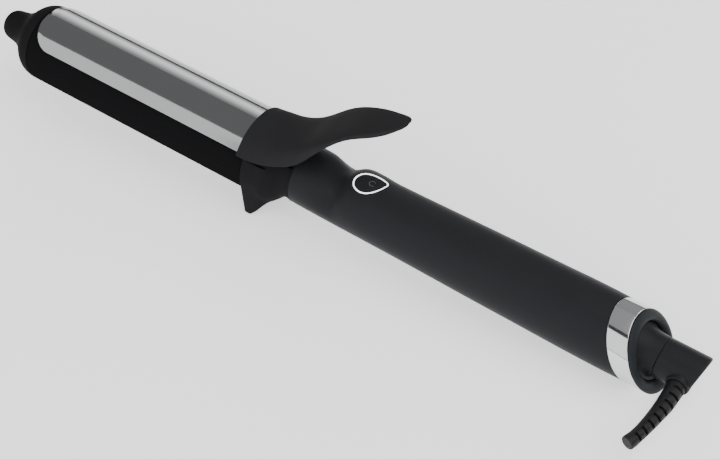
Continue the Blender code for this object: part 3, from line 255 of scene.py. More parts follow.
def braided(colour, size):
    """A woven glass sleeve over a lead."""

    def recipe(start, place):
        weave = start.node(
            "ShaderNodeTexWave",
            {"wave_type": "BANDS", "bands_direction": "DIAGONAL"},
            {"Vector": place, "Scale": 0.16 / (size * MM), "Distortion": 0.6},
            "Fac",
        )
        cloud = grain(start, place, 3.0 * MM, detail=3.0)
        share = 0.7 * weave + 0.3 * cloud
        return {
            "Base Color": blend_colours(start, share, scaled(colour, 0.62), colour),
            "Roughness": 0.7 + 0.15 * (weave - 0.5),
            "Normal": raised(start, weave, 0.05 * MM),
        }

    return {}, recipe


def clear_moulding(colour, glow=0.0, through=0.0):
    """Milky or clear plastic and glass."""

    def recipe(start, place):
        cloud = grain(start, place, 2.5 * MM, detail=3.0)
        fine = grain(start, place, 0.4 * MM)
        return {
            "Base Color": blend_colours(start, cloud, scaled(colour, 0.9), colour),
            "Roughness": 0.22 + 0.12 * fine,
            "Normal": raised(start, fine, 0.004 * MM),
        }

    fixed = {
        "Emission Color": (*colour, 1.0),
        "Emission Strength": glow,
        "Transmission Weight": through,
    }
    return fixed, recipe


FINISH_TABLE = {
    "coated_barrel": coated_metal((0.0066, 0.0066, 0.0071), rough=0.2),
    "tip_plastic": moulded((0.0115, 0.0115, 0.012), rough=0.52, size=0.45, depth=0.03),
    "mica": fired_clay((0.55, 0.48, 0.36)),
    "aluminium": brushed((0.7, 0.71, 0.72), rough=0.35, size=0.3, depth=0.01),
    "ceramic": fired_clay((0.83, 0.8, 0.73)),
    "steel": brushed((0.55, 0.55, 0.56), rough=0.3, size=0.2, depth=0.005),
    "heatproof_plastic": moulded((0.09, 0.06, 0.04), rough=0.6, size=0.6, depth=0.03),
    "brass": brushed((0.72, 0.53, 0.25), rough=0.3, size=0.2, depth=0.006),
    "sensor_glass": clear_moulding((0.55, 0.3, 0.12), through=0.4),
    "lead_sleeve": braided((0.75, 0.73, 0.68), size=0.5),
    "base_plastic": moulded((0.0128, 0.0128, 0.0138), rough=0.5, size=0.4, depth=0.022),
    "lever_plastic": moulded((0.0205, 0.0205, 0.0217), rough=0.5, size=0.35, depth=0.02),
    "clamp_metal": brushed((0.28, 0.283, 0.287), rough=0.09, size=0.12, depth=0.0006),
    "handle_plastic": moulded(
        (0.0185, 0.019, 0.0213), rough=0.42, size=0.3, depth=0.02, gloss=0.04
    ),
    "light_pipe": clear_moulding((0.92, 0.94, 0.97), glow=2.4),
    "button_plastic": moulded((0.02, 0.02, 0.022), rough=0.38, size=0.3, depth=0.015),
    "chrome": brushed((0.72, 0.73, 0.74), rough=0.1, size=0.1, depth=0.0006),
    "cap_plastic": moulded(
        (0.0195, 0.0216, 0.0238), rough=0.4, size=0.3, depth=0.012, gloss=0.06
    ),
    "swivel_plastic": moulded(
        (0.0145, 0.015, 0.0168), rough=0.4, size=0.3, depth=0.015, gloss=0.1
    ),
    "relief_rubber": moulded(
        (0.0098, 0.0098, 0.0107), rough=0.5, size=0.35, depth=0.03, gloss=0.2
    ),
    "tray_plastic": moulded((0.12, 0.12, 0.13), rough=0.5, size=0.5, depth=0.02),
    "board": lacquered_board((0.03, 0.16, 0.07)),
    "component_plastic": moulded((0.02, 0.02, 0.02), rough=0.55, size=0.25, depth=0.02),
    "lamp": clear_moulding((0.9, 0.88, 0.7), glow=0.2),
    "can_sleeve": moulded(
        (0.05, 0.07, 0.16), rough=0.25, size=0.5, depth=0.005, lighter=1.2, coat=0.3
    ),
    "block_plastic": moulded((0.1, 0.25, 0.12), rough=0.5, size=0.4, depth=0.02),
}
FINISHES = {name: finish_named(name, *finish) for name, finish in FINISH_TABLE.items()}


def dress_nodes():
    for row in frame["record"]["subparts"]:
        node = frame["nodes"][row["node"]]
        node.data.materials.clear()
        node.data.materials.append(FINISHES[row["material_slot"]])


# Shape tools; all shapes are made in millimetres of the tong's own frame


def climb(value, start, end):
    """From 0 at the start to 1 at the end, and level before and after."""
    return min(max((value - start) / (end - start), 0.0), 1.0)


def read_table(table, where):
    """A smooth reading of rows whose first column is the place along the table."""
    last = len(table) - 1
    index = 0
    while index < last - 1 and where > table[index + 1][0]:
        index += 1
    here, after = table[index], table[index + 1]
    before, beyond = table[max(index - 1, 0)], table[min(index + 2, last)]
    span = after[0] - here[0]
    share = climb(where, here[0], after[0])
    found = []
    for column in range(1, len(here)):
        leave = (after[column] - before[column]) / (after[0] - before[0]) * span
        arrive = (beyond[column] - here[column]) / (beyond[0] - here[0]) * span
        value = (2 * share ** 3 - 3 * share ** 2 + 1) * here[column]
        value += (share ** 3 - 2 * share ** 2 + share) * leave
        value += (3 * share ** 2 - 2 * share ** 3) * after[column]
        value += (share ** 3 - share ** 2) * arrive
        found.append(value)
    return found


def polar(x, radius, angle):
    return Vector((x, radius * math.sin(angle), radius * math.cos(angle)))


def turns(count):
    return [math.tau * index / count for index in range(count)]


def spread(start, end, count):
    return [start + (end - start) * index / (count - 1) for index in range(count)]


def points(corners):
    return [Vector(corner) for corner in corners]


def weave_rows(shape, rows, wrap):
    for near, far in zip(rows, rows[1:]):
        for here in range(len(near) if wrap else len(near) - 1):
            after = (here + 1) % len(near)
            shape.faces.new((near[here], near[after], far[after], far[here]))


def loft(rings, whole=False):
    """Skins a row of closed rings; whole joins the last one to the first."""
    shape = bmesh.new()
    rows = [[shape.verts.new(point) for point in ring] for ring in rings]
    weave_rows(shape, rows + rows[:1] if whole else rows, True)
    if not whole:
        shape.faces.new(rows[0])
        shape.faces.new(rows[-1])
    return shape


def border(grid):
    loop = list(grid[0])
    loop += [row[-1] for row in grid[1:-1]]
    loop += list(reversed(grid[-1]))
    loop += [row[0] for row in reversed(grid[1:-1])]
    return loop


def wall(outer, inner):
    """Closes two facing grids of points into one thin wall."""
    shape = bmesh.new()
    borders = []
    for grid in (outer, inner):
        rows = [[shape.verts.new(point) for point in row] for row in grid]
        weave_rows(shape, rows, False)
        borders.append(border(rows))
    weave_rows(shape, borders, True)
    return shape


def eased(corners):
    """A profile of (x, radius, easing) corners, each rounded off by its easing."""
    line = []
    for index, (x, radius, ease) in enumerate(corners):
        here = Vector((x, radius))
        if not ease:
            line.append(here)
            continue
        before = Vector(corners[index - 1][:2])
        after = Vector(corners[(index + 1) % len(corners)][:2])
        start = here + (before - here).normalized() * ease
        end = here + (after - here).normalized() * ease
        for share in spread(0.0, 1.0, 6):
            rest = 1 - share
            line.append(start * rest ** 2 + here * 2 * share * rest + end * share ** 2)
    return line


def flowing(corners, count):
    """A smooth line through (x, radius) corners."""
    reach = [0.0]
    for near, far in zip(corners, corners[1:]):
        reach.append(reach[-1] + math.dist(near, far))
    table = [(place, *corner) for place, corner in zip(reach, corners)]
    return [Vector(read_table(table, place)) for place in spread(0.0, reach[-1], count)]


def spin(profile, whole, steps=144, slant=None):
    """Turns a profile round the tong's axis; slant shifts each point along it."""
    rings = []
    for x, radius in profile:
        ring = [polar(x, radius, angle) for angle in turns(steps)]
        for point in ring:
            point.x += slant(point) if slant else 0.0
        rings.append(ring)
    return loft(rings, whole)


def rod(radius, start, end, steps=48):
    along = Vector(end) - Vector(start)
    side = along.orthogonal().normalized()
    other = along.normalized().cross(side)
    rim = [radius * (math.cos(angle) * side + math.sin(angle) * other) for angle in turns(steps)]
    return loft([[place + out for out in rim] for place in points((start, end))])


def block(low, high):
    rings = []
    for x in (low[0], high[0]):
        corners = ((low[1], low[2]), (high[1], low[2]), (high[1], high[2]), (low[1], high[2]))
        rings.append([Vector((x, y, z)) for y, z in corners])
    return loft(rings)


def link_mesh(name, shape):
    bmesh.ops.recalc_face_normals(shape, faces=shape.faces)
    mesh = bpy.data.meshes.new(name)
    shape.to_mesh(mesh)
    shape.free()
    made = bpy.data.objects.new(name, mesh)
    bpy.context.scene.collection.objects.link(made)
    return made


def carve(piece, *tools):
    """Cuts tool shapes out of a piece for good."""
    objects = [link_mesh("tool", tool) for tool in tools]
    for tool in objects:
        step = piece.modifiers.new("cut", "BOOLEAN")
        step.operation = "DIFFERENCE"
        step.solver = "EXACT"
        step.object = tool
    settle(piece)
    for tool in objects:
        bpy.data.objects.remove(tool, do_unlink=True)


def settle(piece):
    """Turns a piece's modifiers into its mesh."""
    graph = bpy.context.evaluated_depsgraph_get()
    mesh = bpy.data.meshes.new_from_object(piece.evaluated_get(graph))
    piece.modifiers.clear()
    piece.data = mesh


def hand_over(piece, body, slot, replaced, ease=0.0, sharp=38.0):
    """Puts a finished piece on the leaned tong, dresses it and hides the parts that it stands for."""
    piece.data.transform(TONG @ Matrix.Scale(MM, 4))
    piece.data.shade_smooth()
    piece.data.set_sharp_from_angle(angle=math.radians(sharp))
    piece.data.materials.clear()
    piece.data.materials.append(FINISHES[slot])
    if ease:
        step = piece.modifiers.new("eased_edges", "BEVEL")
        step.width = ease * MM
        step.segments = 3
        step.limit_method = "ANGLE"
        step.angle_limit = math.radians(50.0)
        settle(piece)
        piece.data.set_sharp_from_angle(angle=math.radians(sharp))
    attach(piece, body)
    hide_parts(*replaced)


# Barrel and cool tip

# Columns: place along, radius, easing of the corner
BARREL_CORNERS = (
    (-106.0, 14.4, 0.0), (-106.0, 16.0, 0.15), (2.6, 16.0, 0.2), (2.6, 14.4, 0.0),
)
TIP_CORNERS = (
    (-129.3, 0.8), (-129.3, 2.2), (-129.27, 3.2), (-128.9, 4.5), (-128.1, 5.4), (-126.8, 6.1),
    (-123.4, 6.75), (-121.0, 7.25), (-119.2, 8.1), (-117.4, 9.2), (-115.6, 10.7), (-113.6, 12.7),
    (-112.0, 14.1), (-110.4, 15.05), (-108.6, 15.65), (-106.3, 16.0),
)
TIP_SPIGOT_CORNERS = ((-106.3, 14.2), (-101.0, 14.2))


def make_barrel():
    piece = link_mesh("barrel_shell", spin(eased(BARREL_CORNERS), True, 192))
    hand_over(piece, "handle_body", "coated_barrel", ["barrel_tube"])


def make_tip():
    profile = flowing(TIP_CORNERS, 90) + points(TIP_SPIGOT_CORNERS)
    piece = link_mesh("tip_moulding", spin(profile, False))
    hand_over(piece, "handle_body", "tip_plastic", ["cool_tip"])


# Clamp plate

CLAMP_INNER_R = 16.3
CLAMP_OUTER_R = 17.1
CLAMP_FRONT = -104.6
CLAMP_SIDE_FRONT = -95.4
CLAMP_REAR = 11.0
CLAMP_HALF_ANGLE = math.radians(51.5)
# How far round the front edge runs square before its corners turn back
CLAMP_SQUARE_SHARE = 0.2
# How much closer together the points lie towards the sides, as a turn of a sine
CLAMP_GATHER = 1.4
CLAMP_EASE = 0.08


def clamp_front(angle):
    past = climb(abs(angle) / CLAMP_HALF_ANGLE, CLAMP_SQUARE_SHARE, 1.0)
    sweep = 1.0 - math.sqrt(1.0 - past ** 2)
    return CLAMP_FRONT + sweep * (CLAMP_SIDE_FRONT - CLAMP_FRONT)


def clamp_grid(radius):
    scale = CLAMP_HALF_ANGLE / math.sin(CLAMP_GATHER)
    angles = [scale * math.sin(turn) for turn in spread(-CLAMP_GATHER, CLAMP_GATHER, 97)]
    grid = []
    for share in spread(0.0, 1.0, 40):
        fronts = [clamp_front(angle) for angle in angles]
        grid.append([
            polar(front + share * (CLAMP_REAR - front), radius, angle)
            for front, angle in zip(fronts, angles)
        ])
    return grid


def make_clamp():
    piece = link_mesh("clamp_skin", wall(clamp_grid(CLAMP_OUTER_R), clamp_grid(CLAMP_INNER_R)))
    hand_over(piece, "lever_group", "clamp_metal", ["clamp_plate"], ease=CLAMP_EASE)


# Stand base

BASE_FRONT = 2.9
BASE_FLAT = 10.6
BASE_REAR = 21.7
# How far the base goes on past its cone, to meet the handle
BASE_REACH = 0.27
BASE_R = 17.3
BASE_EASE = 0.7
WAIST_R = 11.6
FOOT_DROP = 21.5
FOOT_HALF_WIDTH = 15.5
FOOT_THICK = 2.6
FOOT_SLOPE_LENGTH = 11.5
FOOT_CORNER_R = 1.9
LEAN = math.radians(2.466)

# Columns: place along the cone, share of the way from the waist's radius to the base's
BASE_CONE_ROWS = (
    (0.0, 1.0), (0.1, 0.96), (0.22, 0.8), (0.38, 0.5), (0.53, 0.2), (0.66, 0.05), (0.79, 0.0),
    (0.9, 0.02), (1.0, 0.08),
)

# Columns: place down the slope, share of the drop, share of the width
FOOT_SLOPE_ROWS = (
    (0.0, 1.0, 1.0), (0.22, 0.86, 0.98), (0.45, 0.68, 0.92), (0.65, 0.56, 0.77),
    (0.84, 0.48, 0.6), (1.0, 0.42, 0.46),
)

# The lever's seat is cut to this section, as place along and radius, swept to both sides
SEAT_SECTION = ((0.9, 15.9), (0.9, 19.3), (13.0, 19.3), (13.0, 15.9))
SEAT_HALF_ANGLE = math.radians(56.8)
SPRING_POCKET = ((6.4, -7.6, 4.0), (21.0, 7.6, 19.3))
BARREL_SOCKET_R = 13.4
BARREL_SOCKET_ENDS = ((0.9, 0.0, 0.0), (5.2, 0.0, 0.0))
LEAD_DUCT_R = 4.2
LEAD_DUCT_ENDS = ((2.0, 0.0, -5.2), (28.7, 0.0, -5.2))


def base_radius(x):
    share = read_table(BASE_CONE_ROWS, climb(x, BASE_FLAT, BASE_REAR))[0]
    return WAIST_R + (BASE_R - WAIST_R) * share


def base_ring(x, shrink=0.0):
    """A station of the base: one line wrapped round the barrel's seat and the foot's corners."""
    circles = [(Vector((0.0, 0.0)), base_radius(x) - shrink)]
    past = x - BASE_FRONT - FOOT_THICK
    if past <= FOOT_SLOPE_LENGTH:
        low, wide = read_table(FOOT_SLOPE_ROWS, past / FOOT_SLOPE_LENGTH)
        drop = (FOOT_DROP - x * math.tan(LEAN) - shrink) * low
        half = (FOOT_HALF_WIDTH - shrink) * wide
        for side in (-1.0, 1.0):
            spot = Vector((side * (half - FOOT_CORNER_R), FOOT_CORNER_R - drop))
            circles.append((spot, FOOT_CORNER_R))
    ring = []
    for angle in turns(200):
        aim = Vector((math.sin(angle), math.cos(angle)))
        centre, radius = max(circles, key=lambda item: item[0].dot(aim) + item[1])
        spot = centre + aim * radius
        ring.append(Vector((x, spot.x, spot.y)))
    return ring


def make_base():
    rings = []
    for turn in spread(math.pi / 2, 0.0, 6):
        x = BASE_FRONT + BASE_EASE * (1 - math.sin(turn))
        rings.append(base_ring(x, BASE_EASE * (1 - math.cos(turn))))
    rings += [base_ring(x) for x in spread(BASE_FRONT + BASE_EASE, BASE_REAR + BASE_REACH, 70)[1:]]
    piece = link_mesh("base_moulding", loft(rings))
    seat = [
        [polar(x, radius, angle) for x, radius in SEAT_SECTION]
        for angle in spread(-SEAT_HALF_ANGLE, SEAT_HALF_ANGLE, 90)
    ]
    socket = rod(BARREL_SOCKET_R, *BARREL_SOCKET_ENDS, 128)
    carve(piece, loft(seat), block(*SPRING_POCKET), socket, rod(LEAD_DUCT_R, *LEAD_DUCT_ENDS))
    hand_over(piece, "handle_body", "base_plastic", ["stand_base"])


# Lever

LEVER_LENGTH = 66.1
LEVER_RISE = 39.3
LEVER_FRONT_R = 18.2
LEVER_HALF_WIDTH = 15.106
LEVER_THICK = 2.8
# The wall grows thinner towards its lips and where the base needs room, but not past the least
# share of its thickness; it is never thicker than the most share of the half width
LEVER_LIP_THINNING = 0.2
LEVER_CLEARANCE = 0.6
LEVER_LEAST_SHARE = 0.45
LEVER_MOST_SHARE = 0.55
LEVER_EASE = 0.28
# The saddle lies this far off the clamp plate, and ends between these places along
SADDLE_GAP = 0.25
SADDLE_END = (11.44, 16.94)
# The stations crowd together from here on, to round the paddle's tip
PADDLE_TIP_SHARE = 0.94
# A small step for the slope of the lever's surface
NUDGE = 0.004

# Columns: place along, height of the ridge, height of the lip, half width, reach of the
# shoulder past the lip, squareness of the shoulder
LEVER_ROWS = (
    (0.0, -0.002, -0.204, 0.988, 0.6, 1.061),
    (0.011, 0.003, -0.204, 1.0, 0.586, 1.035),
    (0.027, 0.0, -0.205, 1.001, 0.582, 1.02),
    (0.075, 0.002, -0.203, 0.99, 0.761, 1.189),
    (0.149, 0.006, -0.187, 0.975, 0.809, 1.27),
    (0.209, 0.041, -0.162, 0.933, 0.868, 1.24),
    (0.269, 0.094, -0.126, 0.882, 0.925, 1.266),
    (0.328, 0.154, -0.083, 0.838, 0.949, 1.49),
    (0.388, 0.223, -0.008, 0.816, 0.969, 1.775),
    (0.448, 0.316, 0.111, 0.803, 1.011, 1.902),
    (0.515, 0.421, 0.274, 0.789, 1.049, 1.954),
    (0.581, 0.502, 0.412, 0.768, 1.044, 1.985),
    (0.633, 0.575, 0.504, 0.691, 1.035, 1.999),
    (0.684, 0.638, 0.58, 0.624, 1.027, 2.01),
    (0.736, 0.692, 0.634, 0.576, 1.036, 2.029),
    (0.787, 0.744, 0.674, 0.523, 1.063, 2.052),
    (0.837, 0.789, 0.714, 0.462, 1.092, 2.073),
    (0.89, 0.828, 0.761, 0.39, 1.1, 2.0),
    (0.94, 0.876, 0.828, 0.308, 1.08, 2.0),
    (0.97, 0.902, 0.872, 0.242, 1.08, 2.0),
    (0.99, 0.92, 0.903, 0.17, 1.08, 2.0),
    (1.0, 0.93, 0.918, 0.1, 1.08, 2.0),
)


def lever_outer(share, across):
    rise, drop, wide, lean, square = read_table(LEVER_ROWS, share)
    top = LEVER_FRONT_R + rise * LEVER_RISE
    low = LEVER_FRONT_R + drop * LEVER_RISE
    half = wide * LEVER_HALF_WIDTH
    side = abs(across)
    first, second, third = (1 - side) ** 2, 2 * side * (1 - side) * square, side ** 2
    whole = first + second + third
    y = (second * lean * half + third * half) / whole
    z = (first * top + second * top + third * low) / whole
    return Vector((share * LEVER_LENGTH, math.copysign(y, across), z))


def lever_inward(share, across):
    """The direction from the lever's outer surface into its wall."""
    before, after = max(share - NUDGE, 0.0), min(share + NUDGE, 1.0)
    near, far = max(across - NUDGE, -1.0), min(across + NUDGE, 1.0)
    along = lever_outer(after, across) - lever_outer(before, across)
    over = lever_outer(share, far) - lever_outer(share, near)
    inward = over.cross(along).normalized()
    if inward.z > 0.0:
        inward.negate()
    if abs(inward.z) < 0.5 and inward.y * across > 0.0:
        inward.negate()
    return inward


def lever_inner(share, across):
    """The wall's inner face: a saddle on the clamp plate in front, an even wall behind."""
    here = lever_outer(share, across)
    room = math.hypot(here.y, here.z) - base_radius(here.x) - LEVER_CLEARANCE
    clear = LEVER_THICK if here.x > BASE_REAR else max(room, LEVER_LEAST_SHARE * LEVER_THICK)
    half = read_table(LEVER_ROWS, share)[2] * LEVER_HALF_WIDTH
    even = LEVER_THICK * (1.0 - LEVER_LIP_THINNING * abs(across) ** 3)
    walled = here + lever_inward(share, across) * min(even, clear, LEVER_MOST_SHARE * half)
    walled.x = here.x
    seated = polar(here.x, CLAMP_OUTER_R + SADDLE_GAP, math.atan2(here.y, here.z))
    return seated.lerp(walled, climb(here.x, *SADDLE_END))


def smoothed(grid):
    """The stations between the ends drawn together, so the surface has no ripples."""
    for _ in range(25):
        middle = [
            [(before + 2.0 * here + after) / 4.0 for before, here, after in zip(*three)]
            for three in zip(grid, grid[1:], grid[2:])
        ]
        grid = [grid[0], *middle, grid[-1]]
    return grid


def make_lever():
    shares = spread(0.0, PADDLE_TIP_SHARE, 88)
    for turn in spread(0.12, math.pi / 2, 14):
        shares.append(PADDLE_TIP_SHARE + (1.0 - PADDLE_TIP_SHARE) * math.sin(turn))
    steps = spread(-1.0, 1.0, 81)
    outer = [[lever_outer(share, across) for across in steps] for share in shares]
    inner = [[lever_inner(share, across) for across in steps] for share in shares]
    piece = link_mesh("lever_moulding", wall(smoothed(outer), smoothed(inner)))
    hand_over(piece, "lever_group", "lever_plastic", ["lever"], ease=LEVER_EASE)


# Handle

HANDLE_FRONT = 22.0
HANDLE_REAR = 160.5
HANDLE_FRONT_R = 12.0
HANDLE_R = 14.0
HANDLE_WALL = 1.9
# The share of the length from which the stations slant, and the slope of the rear end
SLANT_START = 0.8
REAR_SLANT = math.tan(math.radians(30.5))
# The hollow before the button and the boss under it fade out between these turns from the top
TOP_FADE = (math.radians(55.0), math.radians(100.0))
SCALLOP_DEPTH = 2.6
BOSS_RISE = 0.5
BOSS_ENDS = (41.5, 61.0)

# Columns: place along the handle, share of the way from the front radius to the full one
HANDLE_ROWS = (
    (0.0, 0.0), (0.029, 0.08), (0.094, 0.17), (0.18, 0.25), (0.324, 0.35), (0.461, 0.52),
    (0.598, 0.7), (0.735, 0.83), (0.865, 0.98), (0.95, 0.98), (1.0, 0.9),
)

# Columns: place along the handle, share of the hollow's depth
SCALLOP_ROWS = (
    (0.0, 0.0), (0.03, 0.03), (0.06, 0.2), (0.085, 0.6), (0.105, 0.92), (0.122, 1.0),
    (0.135, 0.82), (0.15, 0.42), (0.165, 0.12), (0.185, 0.0), (1.0, 0.0),
)

# Columns: place along the boss, share of its rise
BOSS_ROWS = (
    (0.0, 0.0), (0.1, 0.6), (0.25, 1.0), (0.45, 1.0), (0.6, 0.72), (0.75, 0.2), (0.88, 0.0),
    (1.0, 0.0),
)


def handle_x(share):
    return HANDLE_FRONT + share * (HANDLE_REAR - HANDLE_FRONT)


def handle_radius(share, angle):
    radius = HANDLE_FRONT_R + (HANDLE_R - HANDLE_FRONT_R) * read_table(HANDLE_ROWS, share)[0]
    fade = climb(abs(math.remainder(angle, math.tau)), *TOP_FADE)
    window = 1.0 - fade * fade * (3 - 2 * fade)
    dip = SCALLOP_DEPTH * max(0.0, read_table(SCALLOP_ROWS, share)[0])
    rise = BOSS_RISE * read_table(BOSS_ROWS, climb(handle_x(share), *BOSS_ENDS))[0]
    return radius + (rise - dip) * window


def handle_ring(share, inset):
    slope = REAR_SLANT * climb(share, SLANT_START, 1.0)
    ring = []
    for angle in turns(160):
        point = polar(handle_x(share), handle_radius(share, angle) - inset, angle)
        point.x -= slope * point.z
        ring.append(point)
    return ring


def handle_height(x, y):
    """The height of the handle's surface over a point beside its axis."""
    share = (x - HANDLE_FRONT) / (HANDLE_REAR - HANDLE_FRONT)
    z = HANDLE_R
    for _ in range(4):
        z = math.sqrt(handle_radius(share, math.atan2(y, z)) ** 2 - y * y)
    return z


def make_handle():
    shares = spread(0.0, 0.28, 90) + spread(0.28, 1.0, 80)[1:]
    rings = [handle_ring(share, 0.0) for share in shares]
    rings += [handle_ring(share, HANDLE_WALL) for share in reversed(spread(0.0, 1.0, 60))]
    piece = link_mesh("handle_moulding", loft(rings, True))
    carve(piece, loft([teardrop(OPENING_INSET, z=z) for z in OPENING_HEIGHTS]))
    hand_over(piece, "handle_body", "handle_plastic", ["handle_sleeve"])


# Button, its lit ring and the opening that they sit in

BUTTON_X = 50.1
BUTTON_LENGTH = 13.6
BUTTON_HALF_WIDTH = 5.1
BUTTON_TURN = math.radians(32.8)
BUTTON_FRONT_SHARE = 0.41
BUTTON_TAPER = 0.36
BUTTON_FOOT_HEIGHT = 9.9
# The button's edge, as an inset from the drop shape, and the steps that round it
BUTTON_INSET = 0.63
BUTTON_EDGE_STEPS = ((0.0, -0.3), (0.08, -0.15), (0.3, -0.07))
# The top's stations, and its rise from the edge's lift over a run inwards
BUTTON_TOP_INSETS = (1.6, 2.1, 2.7, 3.3, 3.9, 4.4, 4.8)
BUTTON_TOP_LIFT = -0.07
BUTTON_TOP_RISE = 0.1
BUTTON_TOP_RUN = 3.8
OPENING_INSET = 0.04
OPENING_HEIGHTS = (3.0, 17.0)

# Columns: inset from the drop shape, lift over the handle
RING_CROWN = (
    (0.14, 0.0), (0.14, 0.05), (0.18, 0.09), (0.23, 0.1), (0.41, 0.1), (0.46, 0.09), (0.5, 0.05),
)
RING_FOOT_HEIGHT = 10.8

# The raised open circle on the button, with its section as side and lift
MARK_R = 1.2
MARK_PLACE = (BUTTON_X + 1.9, 0.4)
MARK_SECTION = ((-0.1, -0.03), (0.1, -0.03), (0.1, 0.05), (-0.1, 0.05))
MARK_START = math.radians(40.0)
MARK_SWEEP = math.radians(280.0)


def teardrop(inset, lift=None, z=None):
    """The button's outline, blunt in front and drawn out behind, lifted off the handle or at z."""
    front = BUTTON_LENGTH * BUTTON_FRONT_SHARE
    ring = []
    for angle in turns(120):
        along = math.cos(angle)
        reach = BUTTON_LENGTH - front if along > 0.0 else front
        length = (reach - inset) * along
        taper = 1.0 - BUTTON_TAPER * max(along, 0.0) ** 2
        width = (BUTTON_HALF_WIDTH - inset) * math.sin(angle) * taper
        x = BUTTON_X + length * math.cos(BUTTON_TURN) - width * math.sin(BUTTON_TURN)
        y = length * math.sin(BUTTON_TURN) + width * math.cos(BUTTON_TURN)
        ring.append(Vector((x, y, handle_height(x, y) + lift if z is None else z)))
    return ring


def make_light_ring():
    crown = [teardrop(inset, lift) for inset, lift in RING_CROWN]
    outer, inner = (teardrop(RING_CROWN[end][0], z=RING_FOOT_HEIGHT) for end in (0, -1))
    piece = link_mesh("ring_moulding", loft([outer, *crown, inner], True))
    hand_over(piece, "handle_body", "light_pipe", ["light_ring"], sharp=60.0)


def mark_ring(share):
    angle = MARK_START + share * MARK_SWEEP
    ring = []
    for side, lift in MARK_SECTION:
        x = MARK_PLACE[0] + (MARK_R + side) * math.cos(angle)
        y = MARK_PLACE[1] + (MARK_R + side) * math.sin(angle)
        ring.append(Vector((x, y, handle_height(x, y) + lift)))
    return ring


def make_button():
    rings = [teardrop(BUTTON_INSET, z=BUTTON_FOOT_HEIGHT)]
    rings += [teardrop(BUTTON_INSET + inset, lift) for inset, lift in BUTTON_EDGE_STEPS]
    for inset in BUTTON_TOP_INSETS:
        rise = BUTTON_TOP_RISE * (inset - BUTTON_INSET) / BUTTON_TOP_RUN
        rings.append(teardrop(inset, BUTTON_TOP_LIFT + rise))
    piece = link_mesh("button_moulding", loft(rings))
    hand_over(piece, "button", "button_plastic", ["power_button"])
    piece = link_mesh("button_mark", loft([mark_ring(share) for share in spread(0.0, 1.0, 40)]))
    hand_over(piece, "button", "tray_plastic", [])


# Collar, end cap and hub

COLLAR_R = 13.88
# Columns: place along, radius, easing of the corner
COLLAR_CORNERS = (
    (160.8, 12.58, 0.0), (160.8, COLLAR_R, 0.18), (168.8, COLLAR_R, 0.18), (168.8, 12.58, 0.0),
)
CAP_FRONT = 169.0
CAP_DEPTH = 1.7
CAP_RECESS_R = 9.9
CAP_SPIGOT_CORNERS = (
    (159.2, 9.9), (159.2, 11.6), (160.8, 11.6), (160.8, 12.33), (CAP_FRONT, 12.33),
)

# Columns: share of the cap's depth, share of the way from the recess to the collar's radius
CAP_LIP_ROWS = (
    (0.0, 0.97), (0.12, 0.995), (0.35, 0.97), (0.66, 0.88), (0.88, 0.74), (1.0, 0.56),
    (0.97, 0.4), (0.8, 0.24), (0.45, 0.1), (0.0, 0.0),
)
HUB_SPIGOT_CORNERS = ((152.1, 3.65), (152.1, 9.6))
HUB_CORNERS = (
    (168.45, 9.6), (168.98, 9.02), (169.78, 8.47), (170.89, 8.05), (172.0, 7.87), (172.86, 7.8),
)
HUB_SEAM_CORNERS = ((172.98, 7.7), (173.0, 7.55), (173.0, 3.65))
# The hub's part inside is upright; past its root it leans as the cap does, then stands up again
HUB_ROOT = 168.4
HUB_LEAN_ENDS = (172.9, 168.45)


def lean_back(point):
    return -REAR_SLANT * point.z


def make_collar():
    piece = link_mesh("collar_band", spin(eased(COLLAR_CORNERS), True, 192, lean_back))
    hand_over(piece, "handle_body", "chrome", ["collar_ring"])


def make_cap():
    reach = COLLAR_R - CAP_RECESS_R
    lip = [
        (CAP_FRONT + deep * CAP_DEPTH, CAP_RECESS_R + out * reach) for deep, out in CAP_LIP_ROWS
    ]
    profile = points(CAP_SPIGOT_CORNERS) + flowing(lip, 56)
    piece = link_mesh("cap_moulding", spin(profile, True, 192, lean_back))
    hand_over(piece, "handle_body", "cap_plastic", ["end_cap"])


def hub_lean(point):
    return lean_back(point) * climb(point.x, *HUB_LEAN_ENDS) if point.x > HUB_ROOT else 0.0


def make_hub():
    profile = points(HUB_SPIGOT_CORNERS) + flowing(HUB_CORNERS, 40) + points(HUB_SEAM_CORNERS)
    piece = link_mesh("hub_moulding", spin(profile, True, slant=hub_lean))
    hand_over(piece, "handle_body", "swivel_plastic", ["swivel_hub"])


# Elbow and strain relief

ELBOW_R = 7.75
# The closed ends of the elbow keep this small flat at the axis, in place of a pole
ELBOW_POLE_R = 0.4
ELBOW_FRONT = SEAM_X + 0.06
ELBOW_REAR = SEAM_X + 14.93
# The end face's slopes across and up
ELBOW_END_SLOPES = (0.11, 0.18)
# Columns: place along, radius, easing of the corner
ELBOW_CORNERS = (
    (ELBOW_FRONT, ELBOW_POLE_R, 0.0), (ELBOW_FRONT, ELBOW_R, 0.3),
    (ELBOW_REAR, ELBOW_R, 1.0), (ELBOW_REAR, ELBOW_POLE_R, 0.0),
)
RELIEF_X = SEAM_X + 9.85
RELIEF_START = 4.5
RELIEF_LENGTH = 33.8
RELIEF_BEND = 4.15
RELIEF_ROOT_R = 3.5
RELIEF_SEAT_R = RELIEF_ROOT_R + 0.12
RELIEF_SEAT_ENDS = ((RELIEF_X, -4.25, 0.0), (RELIEF_X, -12.0, 0.0))
# The relief's end is rounded off from here on, by this much
RELIEF_ROUND_START = 0.985
RELIEF_ROUNDING = 0.45
RELIEF_END_TRIMS = (0.8, 1.1)

